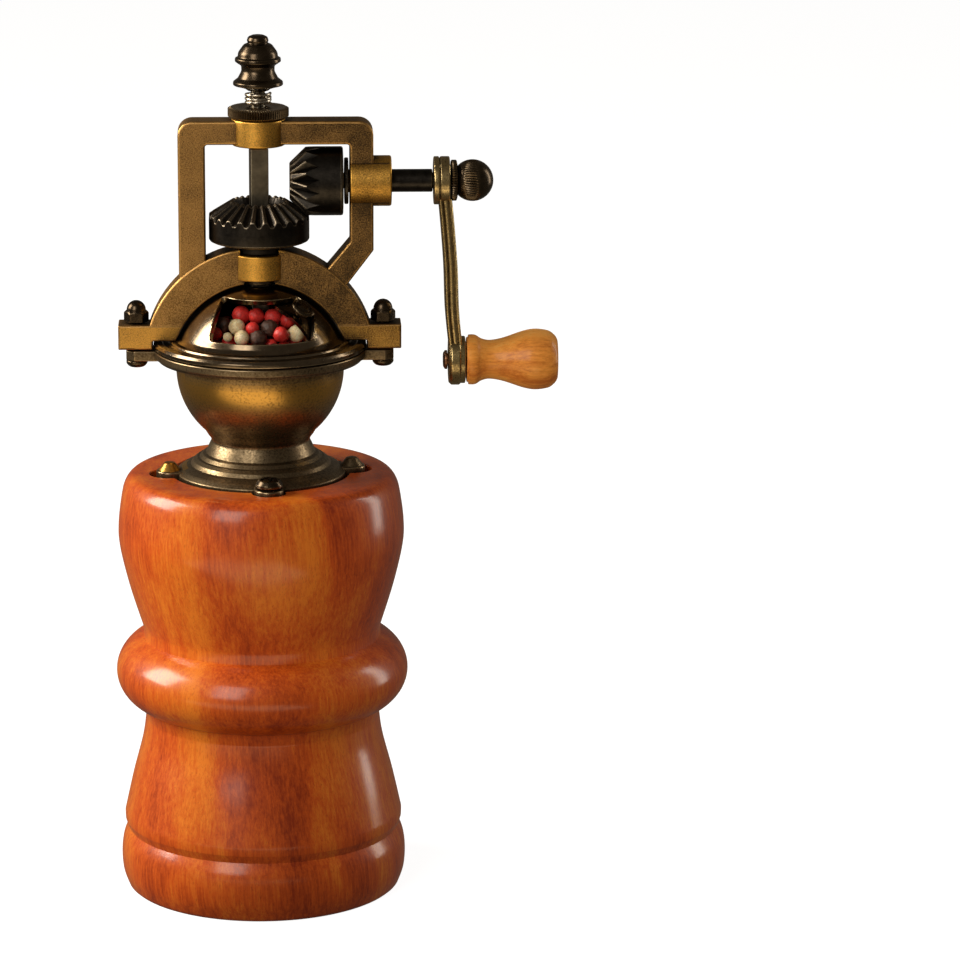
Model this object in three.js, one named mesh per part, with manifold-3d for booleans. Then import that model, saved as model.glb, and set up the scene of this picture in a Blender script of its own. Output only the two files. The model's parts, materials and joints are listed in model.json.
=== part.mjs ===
// Hand-crank pepper mill: a turned wooden body carries a cast hopper, a bracket over
// its dome, and a bevel gear pair that turns the grinding spindle.
// All lengths are in millimetres. +Z is up, +X points to the crank, and the front is -Y.

import * as THREE from 'three';
import { mergeVertices } from 'three/addons/utils/BufferGeometryUtils.js';
import { ConvexGeometry } from 'three/addons/geometries/ConvexGeometry.js';
import Module from 'manifold-3d';

const wasm = await Module();
wasm.setup();

// ---------------------------------------------------------------- driving dimensions

const GAP = 0.3;                  // left between pieces that rest on each other
const RUNNING_FIT = 0.35;         // how much wider in radius a bore is than its pin
const BOLT_HOLE_RADIUS = 1.85;

// Wooden body
const WOOD_HEIGHT = 108;
const BASE_RADIUS = 36.3;
const BEAD_RADIUS = 37;           // the widest part of the mill
const BEAD_Z = 56.6;
const BEAD_CURVE = 11.5;
const BEAD_SQUASH = 0.87;         // the bead is a little lower than a round one
const WAIST_RADIUS = 29.7;
const BARREL_RADIUS = 36;
const WOOD_BORE_RADIUS = 16;      // ground pepper falls through it

// Hopper flange, screwed into the top of the wood
const FLANGE_RADIUS = 21.3;
const FLANGE_BOTTOM = 103;
const FLANGE_TOP = 109.3;
const EAR_CIRCLE = 22.8;          // distance of each ear from the axis
const EAR_RADIUS = 3.6;
const SCREW_POCKET_RADIUS = 4.1;  // recesses of the wood round the ears
const POST_POCKET_RADIUS = 4.9;
const FRONT_EAR_ANGLE = -85;      // degrees, counted from +X
const NECK_RADIUS = 12.2;
const NECK_Z = 116.6;

// Hopper bowl and dome share one centre
const HOPPER_Z = 134.5;
const BOWL_RADIUS = 21;
const BOWL_INNER_RADIUS = 19;
const RIM_RADIUS = 26.6;
const RIM_BOTTOM = 137.2;
const RIM_TOP = 139.9;
const DOME_RADIUS = 22;
const DOME_INNER_RADIUS = 20.6;
const DOME_RING_TOP = 142;
const DOME_HOLE_RADIUS = 3.9;
const WINDOW_LOW = 28;            // degrees of latitude on the dome
const WINDOW_HIGH = 62;
// The window's sides, seen from above: [x, y] from the back left round to the back right.
const WINDOW_SIDES = [[-9.2, -4.7], [-16, -25.1], [13, -25.1], [13.4, -14], [13.7, -7.5],
  [9.2, -4.7]];

// Sliding door inside the dome
const DOOR_RADIUS = 20.25;
const DOOR_INNER_RADIUS = 19.35;
const KNOB_ANGLE = -43.7;         // degrees round the axis, with the door open
const KNOB_LATITUDE = 50;
const KNOB_RADIUS = 2.8;
const DOOR_LOW = 24;              // degrees of latitude
const DOOR_HIGH = 79.5;
const DOOR_LEAD = 87.5;           // the open leaf's edge is the window's left side turned so far
const DOOR_END = 68;              // degrees round the axis
const DOOR_HUB_Z = 153.5;         // above this the door is a whole ring

// Bracket
const BRACKET_DEPTH = 7.6;
const ARCH_DEPTH = 8.1;
const BOSS_RADIUS = 6.7;
const CRANK_BOSS_RADIUS = 6.3;
const BRACKET_LEFT = -20;
const BRACKET_RIGHT = 28.4;
const BRACKET_TOP = 197.7;
const WINDOW_LEFT = -13.3;        // the open frame round the gears
const WINDOW_RIGHT = 22.5;
const WINDOW_TOP = 191.8;
const ARCH_Z = 137.1;
const ARCH_RADIUS = 29;
const ARCH_INNER_Z = 134.6;
const ARCH_INNER_RADIUS = 22.35;
const FOOT_BOTTOM = RIM_TOP + GAP;
const FOOT_TOP = 146.4;
const FOOT_END = 35.3;
const FOOT_BOLT_X = 30.8;
const LUG_END = 33.4;
const UPPER_BOSS_BOTTOM = 191.3;
const UPPER_BOSS_TOP = 198;
const LOWER_BOSS_BOTTOM = 157.8;
const LOWER_BOSS_TOP = 164.2;

// Spindle line
const SPINDLE_SIDE = 4.5;
const SPINDLE_TURN = 6;           // degrees that the square stands turned at rest
const THREAD_RADIUS = 1.95;
const SPINDLE_BOTTOM = 103.2;
const SQUARE_TOP = 190.5;
const THREAD_TOP = 213;

// Bevel gears, whose cones share one point at the crank's height
const CRANK_Z = 182.1;
const GEAR_TEETH = 24;
const GEAR_RADIUS = 12.5;
const GEAR_RIM_Z = 173.9;
const GEAR_INNER_RADIUS = 6.9;
const GEAR_INNER_Z = 177.4;
const GEAR_ROOT_ANGLE = 37.3;     // degrees below the crank axis
const PINION_TEETH = 16;
const PINION_RADIUS = 8.58;
const PINION_START = 7.6;
const PINION_END = 20.9;
const PINION_NOSE_RADIUS = 4.57;
const PINION_CONE_END = 11.6;
const PINION_ROOT_ANGLE = 29.6;   // degrees from the crank axis
const PINION_RIDGE_ANGLE = 37;

// Crank
const SHAFT_RADIUS = 2.85;
const SHAFT_SHOULDER = 43.1;
const WASHER_START = 21.2;        // the shaft widens here to carry the thrust washer
const WASHER_RADIUS = 5.8;
const CRANK_THROW = 45.7;
const CRANK_EYE_RADIUS = 6;
const CRANK_NUT_START = 47.7;
const HANDLE_EYE_RADIUS = 6.35;
const HANDLE_START = 51.7;
const HANDLE_END = 74.6;

// The object's origin is under the middle of its whole box
const MILL_AXIS_X = (BEAD_RADIUS - HANDLE_END) / 2;

// ---------------------------------------------------------------- materials

const finish = (color, roughness, metalness) =>
  new THREE.MeshStandardMaterial({ color, roughness, metalness });

const LACQUERED_WOOD = finish(0xb2521f, 0.25, 0);
const HANDLE_WOOD = finish(0xcd7d3c, 0.45, 0);
const ANTIQUE_BRASS = finish(0x8a6430, 0.45, 1);
const POLISHED_BRONZE = finish(0x5a4a35, 0.2, 1);
const BLACKENED_STEEL = finish(0x24211f, 0.4, 1);
const DARK_BRONZE = finish(0x3d3226, 0.35, 1);
const GREY_STEEL = finish(0x6b665e, 0.35, 1);

// ---------------------------------------------------------------- solids

const BIG = 32;                   // facets round a large turned piece
const SMALL = 16;                 // facets round a small one

const radians = THREE.MathUtils.degToRad;

// Six times the volume inside a closed mesh, negative when its faces point inwards.
function signedVolume(points, triangles) {
  const corner = (index) => new THREE.Vector3().fromArray(points, 3 * index);
  let sum = 0;
  for (let t = 0; t < triangles.length; t += 3) {
    const [a, b, c] = [0, 1, 2].map((k) => corner(triangles[t + k]));
    sum += a.dot(b.cross(c));
  }
  return sum;
}

// Turns a closed geometry into a solid that can be joined and cut.
function toSolid(geometry) {
  const bare = geometry.clone();
  bare.deleteAttribute('normal');
  bare.deleteAttribute('uv');
  const merged = mergeVertices(bare, 1e-5);
  const points = merged.attributes.position.array;
  const triangles = [];
  for (let t = 0; t < merged.index.count; t += 3) {
    const [a, b, c] = [0, 1, 2].map((k) => merged.index.getX(t + k));
    if (a !== b && b !== c && c !== a) triangles.push(a, b, c);
  }
  if (signedVolume(points, triangles) < 0) triangles.reverse();
  const mesh = new wasm.Mesh({
    numProp: 3,
    vertProperties: points,
    triVerts: new Uint32Array(triangles),
  });
  return new wasm.Manifold(mesh);
}

function toGeometry(solid) {
  const { vertProperties, triVerts } = solid.getMesh();
  const geometry = new THREE.BufferGeometry();
  geometry.setAttribute('position', new THREE.BufferAttribute(vertProperties, 3));
  geometry.setIndex(new THREE.BufferAttribute(triVerts, 1));
  geometry.computeVertexNormals();
  return geometry;
}

// Turned piece round the Z axis. The outline is a list of [radius, height] pairs that
// starts and ends on the axis, or else closes on itself.
function turned(outline, facets = SMALL) {
  const points = outline.map(([radius, height]) => new THREE.Vector2(radius, height));
  if (outline[0][0] > 0) points.push(points[0].clone());
  return toSolid(new THREE.LatheGeometry(points, facets).rotateX(Math.PI / 2));
}

// Plain round bar from one height to another.
const bar = (radius, bottom, top, facets = SMALL) =>
  turned([[0, bottom], [radius, bottom], [radius, top], [0, top]], facets);

// Round washer or bush.
const ring = (inner, outer, bottom, top, facets = SMALL) =>
  turned([[inner, bottom], [outer, bottom], [outer, top], [inner, top]], facets);

// Flat outline in the XY plane, raised from one height to another.
function prism(corners, bottom, top) {
  const shape = new THREE.Shape(corners.map(([x, y]) => new THREE.Vector2(x, y)));
  const geometry = new THREE.ExtrudeGeometry(shape, { depth: top - bottom, bevelEnabled: false });
  return toSolid(geometry.translate(0, 0, bottom));
}

// Upright outline in the XZ plane, as deep as given and centred on Y = 0.
function plate(shape, depth) {
  const options = { depth, bevelEnabled: false, curveSegments: BIG };
  const geometry = new THREE.ExtrudeGeometry(shape, options);
  return toSolid(geometry.translate(0, 0, -depth / 2).rotateX(Math.PI / 2));
}

function block(x0, x1, y0, y1, z0, z1) {
  const geometry = new THREE.BoxGeometry(x1 - x0, y1 - y0, z1 - z0);
  return toSolid(geometry.translate((x0 + x1) / 2, (y0 + y1) / 2, (z0 + z1) / 2));
}

// Points of an arc of a circle, angles in degrees.
function arc(centreX, centreY, radius, start, end, steps) {
  return Array.from({ length: steps + 1 }, (_, k) => {
    const angle = radians(start + ((end - start) * k) / steps);
    return [centreX + radius * Math.cos(angle), centreY + radius * Math.sin(angle)];
  });
}

// Points of a smooth curve through the given ones.
function smooth(outline, steps) {
  const curve = new THREE.SplineCurve(outline.map(([x, y]) => new THREE.Vector2(x, y)));
  return curve.getPoints(steps).map((point) => [point.x, point.y]);
}

const turnedBy = (solid, degrees) => solid.rotate([0, 0, degrees]);
const shifted = (solid, x, y, z) => solid.translate([x, y, z]);
const joined = (...solids) => solids.reduce((whole, solid) => whole.add(solid));
const cut = (solid, ...tools) => tools.reduce((rest, tool) => rest.subtract(tool), solid);

// The same piece at several angles round the axis, joined.
function roundAxis(solid, angles) {
  return joined(...angles.map((angle) => turnedBy(solid, angle)));
}

const evenAngles = (count) => Array.from({ length: count }, (_, k) => (360 * k) / count);
const earAngles = evenAngles(4).map((angle) => FRONT_EAR_ANGLE + angle);
const screwAngles = [earAngles[0], earAngles[2]];
const postAngles = [earAngles[1], earAngles[3]];

// ---------------------------------------------------------------- body and hopper

function woodBody() {
  const outline = [
    [WOOD_BORE_RADIUS, 0],
    [34.2, 0],
    ...smooth([[34.8, 0.5], [36, 4], [BASE_RADIUS, 8.5], [35.8, 12.5], [34.6, 15.4]], 6),
    [35.3, 17.6],
    ...smooth([[35.3, 19], [33.1, 29], [30.6, 38.6], [WAIST_RADIUS, 44.8]], 3),
    ...arc(BEAD_RADIUS - BEAD_CURVE, 0, BEAD_CURVE, -66, 66, 8)
      .map(([r, z]) => [r, BEAD_Z + BEAD_SQUASH * z]),
    ...smooth([[30, 68], [33.4, 79], [35.7, 89], [BARREL_RADIUS, 95], [35.1, 102.3]], 5),
    ...smooth([[35.1, 102.3], [34.3, 106], [31.4, WOOD_HEIGHT]], 3).slice(1),
    [WOOD_BORE_RADIUS, WOOD_HEIGHT],
  ];
  const recess = bar(FLANGE_RADIUS + GAP + 0.2, FLANGE_BOTTOM - GAP, WOOD_HEIGHT + 1, BIG);
  const pocket = (radius) => bar(radius, FLANGE_BOTTOM - GAP, WOOD_HEIGHT + 1);
  const pilotHole = bar(1.7, 90, FLANGE_BOTTOM, 12);
  return cut(
    turned(outline, BIG),
    recess,
    roundAxis(shifted(pocket(SCREW_POCKET_RADIUS), EAR_CIRCLE, 0, 0), screwAngles),
    roundAxis(shifted(pocket(POST_POCKET_RADIUS), EAR_CIRCLE + 0.3, 0, 0), postAngles),
    roundAxis(shifted(pilotHole, EAR_CIRCLE, 0, 0), screwAngles),
  );
}

function hopperBowl() {
  const outline = [
    [16.4, FLANGE_BOTTOM],
    [FLANGE_RADIUS, FLANGE_BOTTOM],
    [FLANGE_RADIUS, 108.7],
    [20.8, FLANGE_TOP],
    [17.3, 110.6],
    [16.4, 112],
    [14.2, 112.9],
    [13.3, 114.4],
    [NECK_RADIUS, NECK_Z],
    [13.6, 118.1],
    ...arc(0, HOPPER_Z, BOWL_RADIUS, -46, 0, 5).map(([r, z]) => [r, z + 0.4]),
    [BOWL_RADIUS, RIM_BOTTOM],
    [RIM_RADIUS, RIM_BOTTOM],
    [RIM_RADIUS, RIM_TOP],
    [BOWL_INNER_RADIUS, RIM_TOP],
    ...arc(0, HOPPER_Z, BOWL_INNER_RADIUS, 0, -57, 5),
    [10.2, 117.5],
    [10.2, 107.8],
    [16.4, 107.8],
  ];
  const ear = joined(
    bar(EAR_RADIUS, FLANGE_BOTTOM, FLANGE_TOP),
    block(-6, 0, -EAR_RADIUS, EAR_RADIUS, FLANGE_BOTTOM, FLANGE_TOP - 0.4),
  );
  const earHole = joined(
    bar(1.9, FLANGE_BOTTOM - 1, FLANGE_TOP + 1, 12),
    bar(3.7, FLANGE_TOP, FLANGE_TOP + 3),
  );
  const post = turned([[0, FLANGE_BOTTOM], [3.2, FLANGE_BOTTOM], [3.3, 108.7], [2.5, 110.1],
    [1.2, 110.9], [0, 111.1]]);
  const lug = joined(
    block(BOWL_RADIUS, LUG_END - 2, -4, 4, RIM_BOTTOM, RIM_TOP),
    block(BOWL_RADIUS, LUG_END, -2.6, 2.6, RIM_BOTTOM, RIM_TOP),
  );
  const lugHole = bar(BOLT_HOLE_RADIUS, RIM_BOTTOM - 1, RIM_TOP + 1, 12);
  const body = joined(
    turned(outline, BIG),
    roundAxis(shifted(ear, EAR_CIRCLE, 0, 0), earAngles),
    roundAxis(shifted(post, EAR_CIRCLE + 0.2, 0, 0), postAngles),
    roundAxis(lug, [0, 180]),
  );
  return cut(
    body,
    roundAxis(shifted(earHole, EAR_CIRCLE, 0, 0), screwAngles),
    roundAxis(shifted(lugHole, FOOT_BOLT_X, 0, 0), [0, 180]),
  );
}

// Part of a ball-shaped shell between two latitudes, all the way round.
function shellBand(inner, outer, low, high, steps) {
  return turned([
    ...arc(0, HOPPER_Z, outer, low, high, steps),
    ...arc(0, HOPPER_Z, inner, high, low, steps),
  ], BIG);
}

function hopperDome() {
  const latitudeAt = (radius, z) => THREE.MathUtils.radToDeg(Math.asin((z - HOPPER_Z) / radius));
  const topLatitude = (radius) =>
    THREE.MathUtils.radToDeg(Math.acos(DOME_HOLE_RADIUS / radius));
  const ringBottom = RIM_TOP + GAP;
  const outline = [
    [RIM_RADIUS, ringBottom],
    [RIM_RADIUS, DOME_RING_TOP - 0.3],
    [RIM_RADIUS - 0.4, DOME_RING_TOP],
    [22.4, DOME_RING_TOP + 0.3],
    ...arc(0, HOPPER_Z, DOME_RADIUS, latitudeAt(DOME_RADIUS, 142.9), topLatitude(DOME_RADIUS), 7),
    ...arc(0, HOPPER_Z, DOME_INNER_RADIUS, topLatitude(DOME_INNER_RADIUS),
      latitudeAt(DOME_INNER_RADIUS, ringBottom), 7),
  ];
  const windowBand = shellBand(DOME_INNER_RADIUS - 2, DOME_RADIUS + 2, WINDOW_LOW, WINDOW_HIGH, 4);
  return cut(turned(outline, BIG), windowBand.intersect(prism(WINDOW_SIDES, 0, THREAD_TOP)));
}

function hopperDoor() {
  const [c, s] = [Math.cos(radians(DOOR_LEAD)), Math.sin(radians(DOOR_LEAD))];
  const leadingEdge = WINDOW_SIDES.slice(0, 2).map(([x, y]) => [c * x - s * y, s * x + c * y]);
  const reach = 2 * RIM_RADIUS;
  const open = [[0, 0], ...leadingEdge, ...arc(0, 0, reach, -40, DOOR_END - 360, 24)];
  return cut(shellBand(DOOR_INNER_RADIUS, DOOR_RADIUS, DOOR_LOW, DOOR_HIGH, 6),
    prism(open.reverse(), 0, DOOR_HUB_Z));
}

function doorKnob() {
  const stemBottom = DOOR_RADIUS + GAP;
  const headBottom = DOME_RADIUS + GAP;
  return turned([[0, stemBottom], [1, stemBottom], [1, headBottom], [KNOB_RADIUS, headBottom],
    [KNOB_RADIUS, headBottom + 0.7], [KNOB_RADIUS - 0.6, headBottom + 1.3], [0, headBottom + 1.5]]);
}

// ---------------------------------------------------------------- bracket

// Open frame over the arch; its lower edge is left to the arch.
function bracketFrame() {
  const corner = 3.6;
  const outer = new THREE.Shape();
  outer.moveTo(BRACKET_LEFT, 150);
  outer.lineTo(BRACKET_LEFT, BRACKET_TOP - corner);
  outer.absarc(BRACKET_LEFT + corner, BRACKET_TOP - corner, corner, Math.PI, Math.PI / 2, true);
  outer.lineTo(BRACKET_RIGHT - corner, BRACKET_TOP);
  outer.absarc(BRACKET_RIGHT - corner, BRACKET_TOP - corner, corner, Math.PI / 2, 0, true);
  outer.lineTo(BRACKET_RIGHT, 165.1);
  outer.lineTo(21.5, 156);
  outer.closePath();
  const gearWindow = new THREE.Shape();
  gearWindow.moveTo(WINDOW_LEFT, 149);
  gearWindow.lineTo(WINDOW_LEFT, WINDOW_TOP);
  gearWindow.lineTo(WINDOW_RIGHT, WINDOW_TOP);
  gearWindow.lineTo(WINDOW_RIGHT, 167.4);
  gearWindow.lineTo(7, 149);
  gearWindow.closePath();
  // A round corner as fine as a whole circle would waste facets, so it gets its own few.
  const options = { depth: BRACKET_DEPTH, bevelEnabled: false, curveSegments: 5 };
  const frame = new THREE.ExtrudeGeometry(outer, options);
  frame.translate(0, 0, -BRACKET_DEPTH / 2).rotateX(Math.PI / 2);
  return cut(toSolid(frame), plate(gearWindow, 2 * BRACKET_DEPTH));
}

function bracketArch() {
  const arch = new THREE.Shape();
  const side = Math.sqrt(ARCH_RADIUS ** 2 - (FOOT_BOTTOM - ARCH_Z) ** 2);
  const startAngle = Math.atan2(FOOT_BOTTOM - ARCH_Z, side);
  arch.moveTo(-side, FOOT_BOTTOM);
  arch.absarc(0, ARCH_Z, ARCH_RADIUS, Math.PI - startAngle, startAngle, true);
  arch.closePath();
  return plate(arch, ARCH_DEPTH);
}

function bracket() {
  const crankBoss = bar(CRANK_BOSS_RADIUS, WINDOW_RIGHT, 32.9).rotate([0, 90, 0]);
  const crankBore = bar(SHAFT_RADIUS + RUNNING_FIT, 15, 40).rotate([0, 90, 0]);
  const foot = block(20, FOOT_END, -4.1, 4.1, FOOT_BOTTOM, FOOT_TOP);
  const footHole = bar(BOLT_HOLE_RADIUS, FOOT_BOTTOM - 1, FOOT_TOP + 1, 12);
  const underArch = new THREE.Shape().absarc(0, ARCH_INNER_Z, ARCH_INNER_RADIUS, 0, 2 * Math.PI);
  const openArch = cut(joined(bracketFrame(), bracketArch(), roundAxis(foot, [0, 180])),
    plate(underArch, 3 * BRACKET_DEPTH));
  return cut(
    joined(
      openArch,
      bar(BOSS_RADIUS, LOWER_BOSS_BOTTOM, LOWER_BOSS_TOP),
      bar(BOSS_RADIUS, UPPER_BOSS_BOTTOM, UPPER_BOSS_TOP),
      shifted(crankBoss, 0, 0, CRANK_Z),
    ),
    bar(6.3, LOWER_BOSS_TOP, 170),
    bar(5.6, 150, LOWER_BOSS_BOTTOM),
    bar(3.5, LOWER_BOSS_BOTTOM - 2, LOWER_BOSS_TOP + 1),
    bar(THREAD_RADIUS + RUNNING_FIT, UPPER_BOSS_BOTTOM - 1, UPPER_BOSS_TOP + 1),
    shifted(crankBore, 0, 0, CRANK_Z),
    bar(RIM_RADIUS + GAP, FOOT_BOTTOM - 1, DOME_RING_TOP + 1.2, BIG),
    roundAxis(shifted(footHole, FOOT_BOLT_X, 0, 0), [0, 180]),
  );
}

// ---------------------------------------------------------------- fasteners

// Pan-head bolt whose head hangs under the lug.
function footBolt() {
  const headTop = RIM_BOTTOM - GAP;
  return turned([[0, 135.2], [1.5, 135.3], [2.3, 135.7], [2.65, 136.3], [2.65, headTop],
    [1.5, headTop], [1.5, 149.2], [0, 149.2]], 16);
}

function acornNut() {
  const bottom = FOOT_TOP + GAP;
  const shoulder = bottom + 3;
  const acrossFlats = 5.5;
  const cornerRadius = acrossFlats / 2 / Math.cos(Math.PI / 6);
  const hexagon = evenAngles(6).map(radians);
  const corners = hexagon.map((a) => [cornerRadius * Math.cos(a), cornerRadius * Math.sin(a)]);
  const domeRadius = 2.4;
  const dome = arc(0, shoulder, domeRadius, 0, 90, 4).slice(0, -1);
  const cap = turned([[0, bottom + 1], [domeRadius, bottom + 1], ...dome, [0, shoulder + domeRadius]]);
  const thread = bar(1.8, bottom - 1, bottom + 3.2, 12);
  return cut(joined(prism(corners, bottom, shoulder), cap), thread);
}

// Wood screw with a crossed recess in its pan head.
function flangeScrew() {
  const headBottom = FLANGE_TOP + GAP;
  const headTop = headBottom + 2.3;
  const screw = turned([[0, 91], [0.5, 92], [1.3, 95], [1.3, headBottom], [3.4, headBottom],
    [3.4, headBottom + 0.7], [2.6, headTop - 0.4], [0, headTop]], 16);
  const slot = block(-1.9, 1.9, -0.35, 0.35, headTop - 1.1, headTop + 1);
  return cut(screw, slot, turnedBy(slot, 90));
}

// ---------------------------------------------------------------- grinding line

// Steel ring pressed into the throat, with cutting grooves down its inside.
function outerBurr() {
  const body = turned([[9.3, 103.4], [10.9, 103.4], [10.9, 107.4], [9.9, 107.4], [9.9, 117],
    [9.2, 117], [8, 112], [8, 108]], 24);
  const groove = new ConvexGeometry([[0, 105, 0.9], [0, 118, 0.9], [0, 105, -0.9], [0, 118, -0.9],
    [8.7, 105, 0], [8.7, 118, 0]].map(([x, z, y]) => new THREE.Vector3(x, y, z)));
  return cut(body, roundAxis(toSolid(groove), evenAngles(16)));
}

// Square hole along the axis for the spindle.
function squareHole(bottom, top) {
  const half = SPINDLE_SIDE / 2 + GAP;
  return turnedBy(block(-half, half, -half, half, bottom, top), SPINDLE_TURN);
}

// Toothed cone that turns inside the outer burr.
function innerBurr() {
  const body = turned([[0, 103.3], [8.8, 103.3], [8.8, 104.3], [7.4, 108], [7.2, 111],
    [5, 115.5], [0, 115.5]], 24);
  const groove = new ConvexGeometry([[7.2, 104.6, 0], [6.2, 110, 0], [3.8, 116, 0],
    [10, 104.6, 1], [10, 104.6, -1], [10, 116, 1], [10, 116, -1]]
    .map(([x, z, y]) => new THREE.Vector3(x, y, z)));
  return cut(body, roundAxis(toSolid(groove), evenAngles(12)), squareHole(100, 120));
}

function spindle() {
  const half = SPINDLE_SIDE / 2;
  const square = turnedBy(block(-half, half, -half, half, SPINDLE_BOTTOM, SQUARE_TOP),
    SPINDLE_TURN);
  return joined(square, bar(THREAD_RADIUS, SQUARE_TOP - 1, THREAD_TOP));
}

// Knurled wheel on the spindle's thread: it lifts the spindle and sets the grind.
function adjustingNut() {
  const knurls = 36;
  const rim = evenAngles(2 * knurls).map((angle, k) => {
    const radius = k % 2 ? 7.25 : 7.6;
    return [radius * Math.cos(radians(angle)), radius * Math.sin(radians(angle))];
  });
  return cut(prism(rim, UPPER_BOSS_TOP + GAP, 200.8), bar(THREAD_RADIUS + RUNNING_FIT, 195, 205));
}

// Coil spring between the adjusting nut and the finial.
function adjustingSpring() {
  const bottom = 201.55;
  const top = 204.15;
  const turns = 3;
  const coilRadius = 2.95;
  const wireRadius = 0.4;
  class Helix extends THREE.Curve {
    getPoint(t, target = new THREE.Vector3()) {
      const angle = 2 * Math.PI * turns * t;
      const z = bottom + (top - bottom) * t;
      return target.set(coilRadius * Math.cos(angle), coilRadius * Math.sin(angle), z);
    }
  }
  const wire = new THREE.Shape(arc(0, 0, wireRadius, 0, 300, 5).map(([x, y]) => new THREE.Vector2(x, y)));
  const options = { steps: 12 * turns, extrudePath: new Helix() };
  return toSolid(new THREE.ExtrudeGeometry(wire, options));
}

// Turned nut that closes the top of the spindle.
function finialNut() {
  const bore = THREAD_RADIUS + RUNNING_FIT;
  return turned([
    [0, THREAD_TOP + 0.4], [bore, THREAD_TOP + 0.4], [bore, 204.9], [2.6, 204.9],
    [4.6, 205.9], [6.15, 206.3], [6.15, 207.1], [4.9, 208.2],
    [4.05, 209.6], [4.2, 211], [5.2, 211.7], [5.65, 212.2],
    [5.65, 212.9], [5.1, 213.3], [4.6, 214.9], [3.4, 216.3], [2.6, 216.7], [2.5, 217.9],
    [1.9, 218.6], [0, 218.7],
  ]);
}

// ---------------------------------------------------------------- bevel gears

// Tooth gap that narrows to the shared cone point: a pyramid on the given base corners.
const toothGap = (corners) => toSolid(new ConvexGeometry(
  [[0, 0, 0], ...corners].map(([x, y, z]) => new THREE.Vector3(x, y, z)),
));

// The gaps' corners are counted from the cone point, at the distance "reach" from the axis.
function driveGear() {
  const reach = GEAR_RADIUS + 1.5;
  const rootDrop = reach * Math.tan(radians(GEAR_ROOT_ANGLE));
  const toothHeight = 2.4;
  const hubBottom = LOWER_BOSS_TOP + GAP;
  const groove = toothGap([
    [reach, 0.36, -rootDrop], [reach, -0.36, -rootDrop],
    [reach, 1.75, -rootDrop + toothHeight], [reach, -1.75, -rootDrop + toothHeight],
  ]);
  const body = turned([
    [0, hubBottom], [5.7, hubBottom], [5.7, 166], [7.4, 166.2],
    [12, 167.2], [GEAR_RADIUS, 167.7], [GEAR_RADIUS, GEAR_RIM_Z],
    [GEAR_INNER_RADIUS, GEAR_INNER_Z], [6.3, 177.3], [5.4, 175.4], [0, 175.4],
  ], 48);
  const grooves = roundAxis(groove, evenAngles(GEAR_TEETH));
  return cut(body, shifted(grooves, 0, 0, CRANK_Z), squareHole(160, 180));
}

// Built round its own axis, from the cone point at the origin.
function pinion() {
  const reach = 18;
  const halfTooth = radians(180 / PINION_TEETH);
  const root = reach * Math.tan(radians(PINION_ROOT_ANGLE));
  const ridge = (reach * Math.tan(radians(PINION_RIDGE_ANGLE))) / Math.cos(halfTooth);
  const slope = (ridge * Math.sin(halfTooth)) / (ridge * Math.cos(halfTooth) - root);
  const outer = 1.5 * ridge;
  const groove = toothGap([
    [root, 0, reach],
    [outer, slope * (outer - root), reach], [outer, -slope * (outer - root), reach],
  ]);
  const body = turned([
    [0, PINION_START], [PINION_NOSE_RADIUS, PINION_START], [PINION_RADIUS, PINION_CONE_END],
    [PINION_RADIUS, PINION_END - 0.4], [PINION_RADIUS - 0.4, PINION_END], [0, PINION_END],
  ], 32);
  const angles = evenAngles(PINION_TEETH).map((angle) => angle + 180 / PINION_TEETH);
  return cut(body, roundAxis(groove, angles), bar(2.3, 0, 30, 12));
}

// ---------------------------------------------------------------- crank, built along +Z

function crankShaft() {
  const neck = 1.95;
  return turned([
    [0, 8.2], [neck - 0.6, 8.2], [neck, 9], [neck, WASHER_START],
    [SHAFT_RADIUS, WASHER_START], [SHAFT_RADIUS, SHAFT_SHOULDER],
    [neck, SHAFT_SHOULDER], [neck, 53], [0, 53],
  ]);
}

const thrustWasher = () =>
  ring(SHAFT_RADIUS + RUNNING_FIT, WASHER_RADIUS, WASHER_START, WINDOW_RIGHT - GAP);

// How far the arm's middle stands out along the shaft, "down" millimetres from its axis.
const armLean = new THREE.SplineCurve([[0, 45.5], [6, 46.4], [20.6, 47.6], [33.3, 48.1],
  [CRANK_THROW, 49.4]].map(([down, out]) => new THREE.Vector2(down, out)));

function crankArm() {
  const thickness = 3.4;
  const width = 8;
  const steps = 8;
  const web = new THREE.BoxGeometry(CRANK_THROW, width, thickness, steps, 1, 1);
  web.translate(CRANK_THROW / 2, 0, 0);
  const position = web.attributes.position;
  for (let k = 0; k < position.count; k += 1) {
    const share = THREE.MathUtils.clamp(position.getX(k) / CRANK_THROW, 0, 1);
    position.setZ(k, position.getZ(k) + armLean.getPoint(share).y);
  }
  const handleEye = bar(HANDLE_EYE_RADIUS, 47.2, HANDLE_START - GAP);
  return cut(
    joined(
      toSolid(web),
      bar(CRANK_EYE_RADIUS, SHAFT_SHOULDER + GAP, 47.4),
      shifted(handleEye, CRANK_THROW, 0, 0),
    ),
    bar(2.3, 40, 55, 12),
    bar(5.6, 47.4, 55),
    shifted(bar(1.9, 40, 55, 12), CRANK_THROW, 0, 0),
  );
}

// Knurled flange with a ball, screwed on the end of the shaft.
function crankNut() {
  const ballZ = 53.1;
  const ballRadius = 5.2;
  const ball = arc(0, ballZ, ballRadius, -42, 90, 7).slice(0, -1);
  return turned([
    [0, 53.4], [2.3, 53.4], [2.3, CRANK_NUT_START], [5.1, CRANK_NUT_START],
    [5.1, 49.2], [3.5, 49.6], ...ball, [0, ballZ + ballRadius],
  ]);
}

// Rivet that holds the handle and is its axle.
function handleRivet() {
  return turned([[0, 45.8], [1.6, 45.8], [2.4, 46.2], [2.4, 46.9], [1.6, 46.9], [1.6, 70],
    [0, 70]], 12);
}

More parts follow.
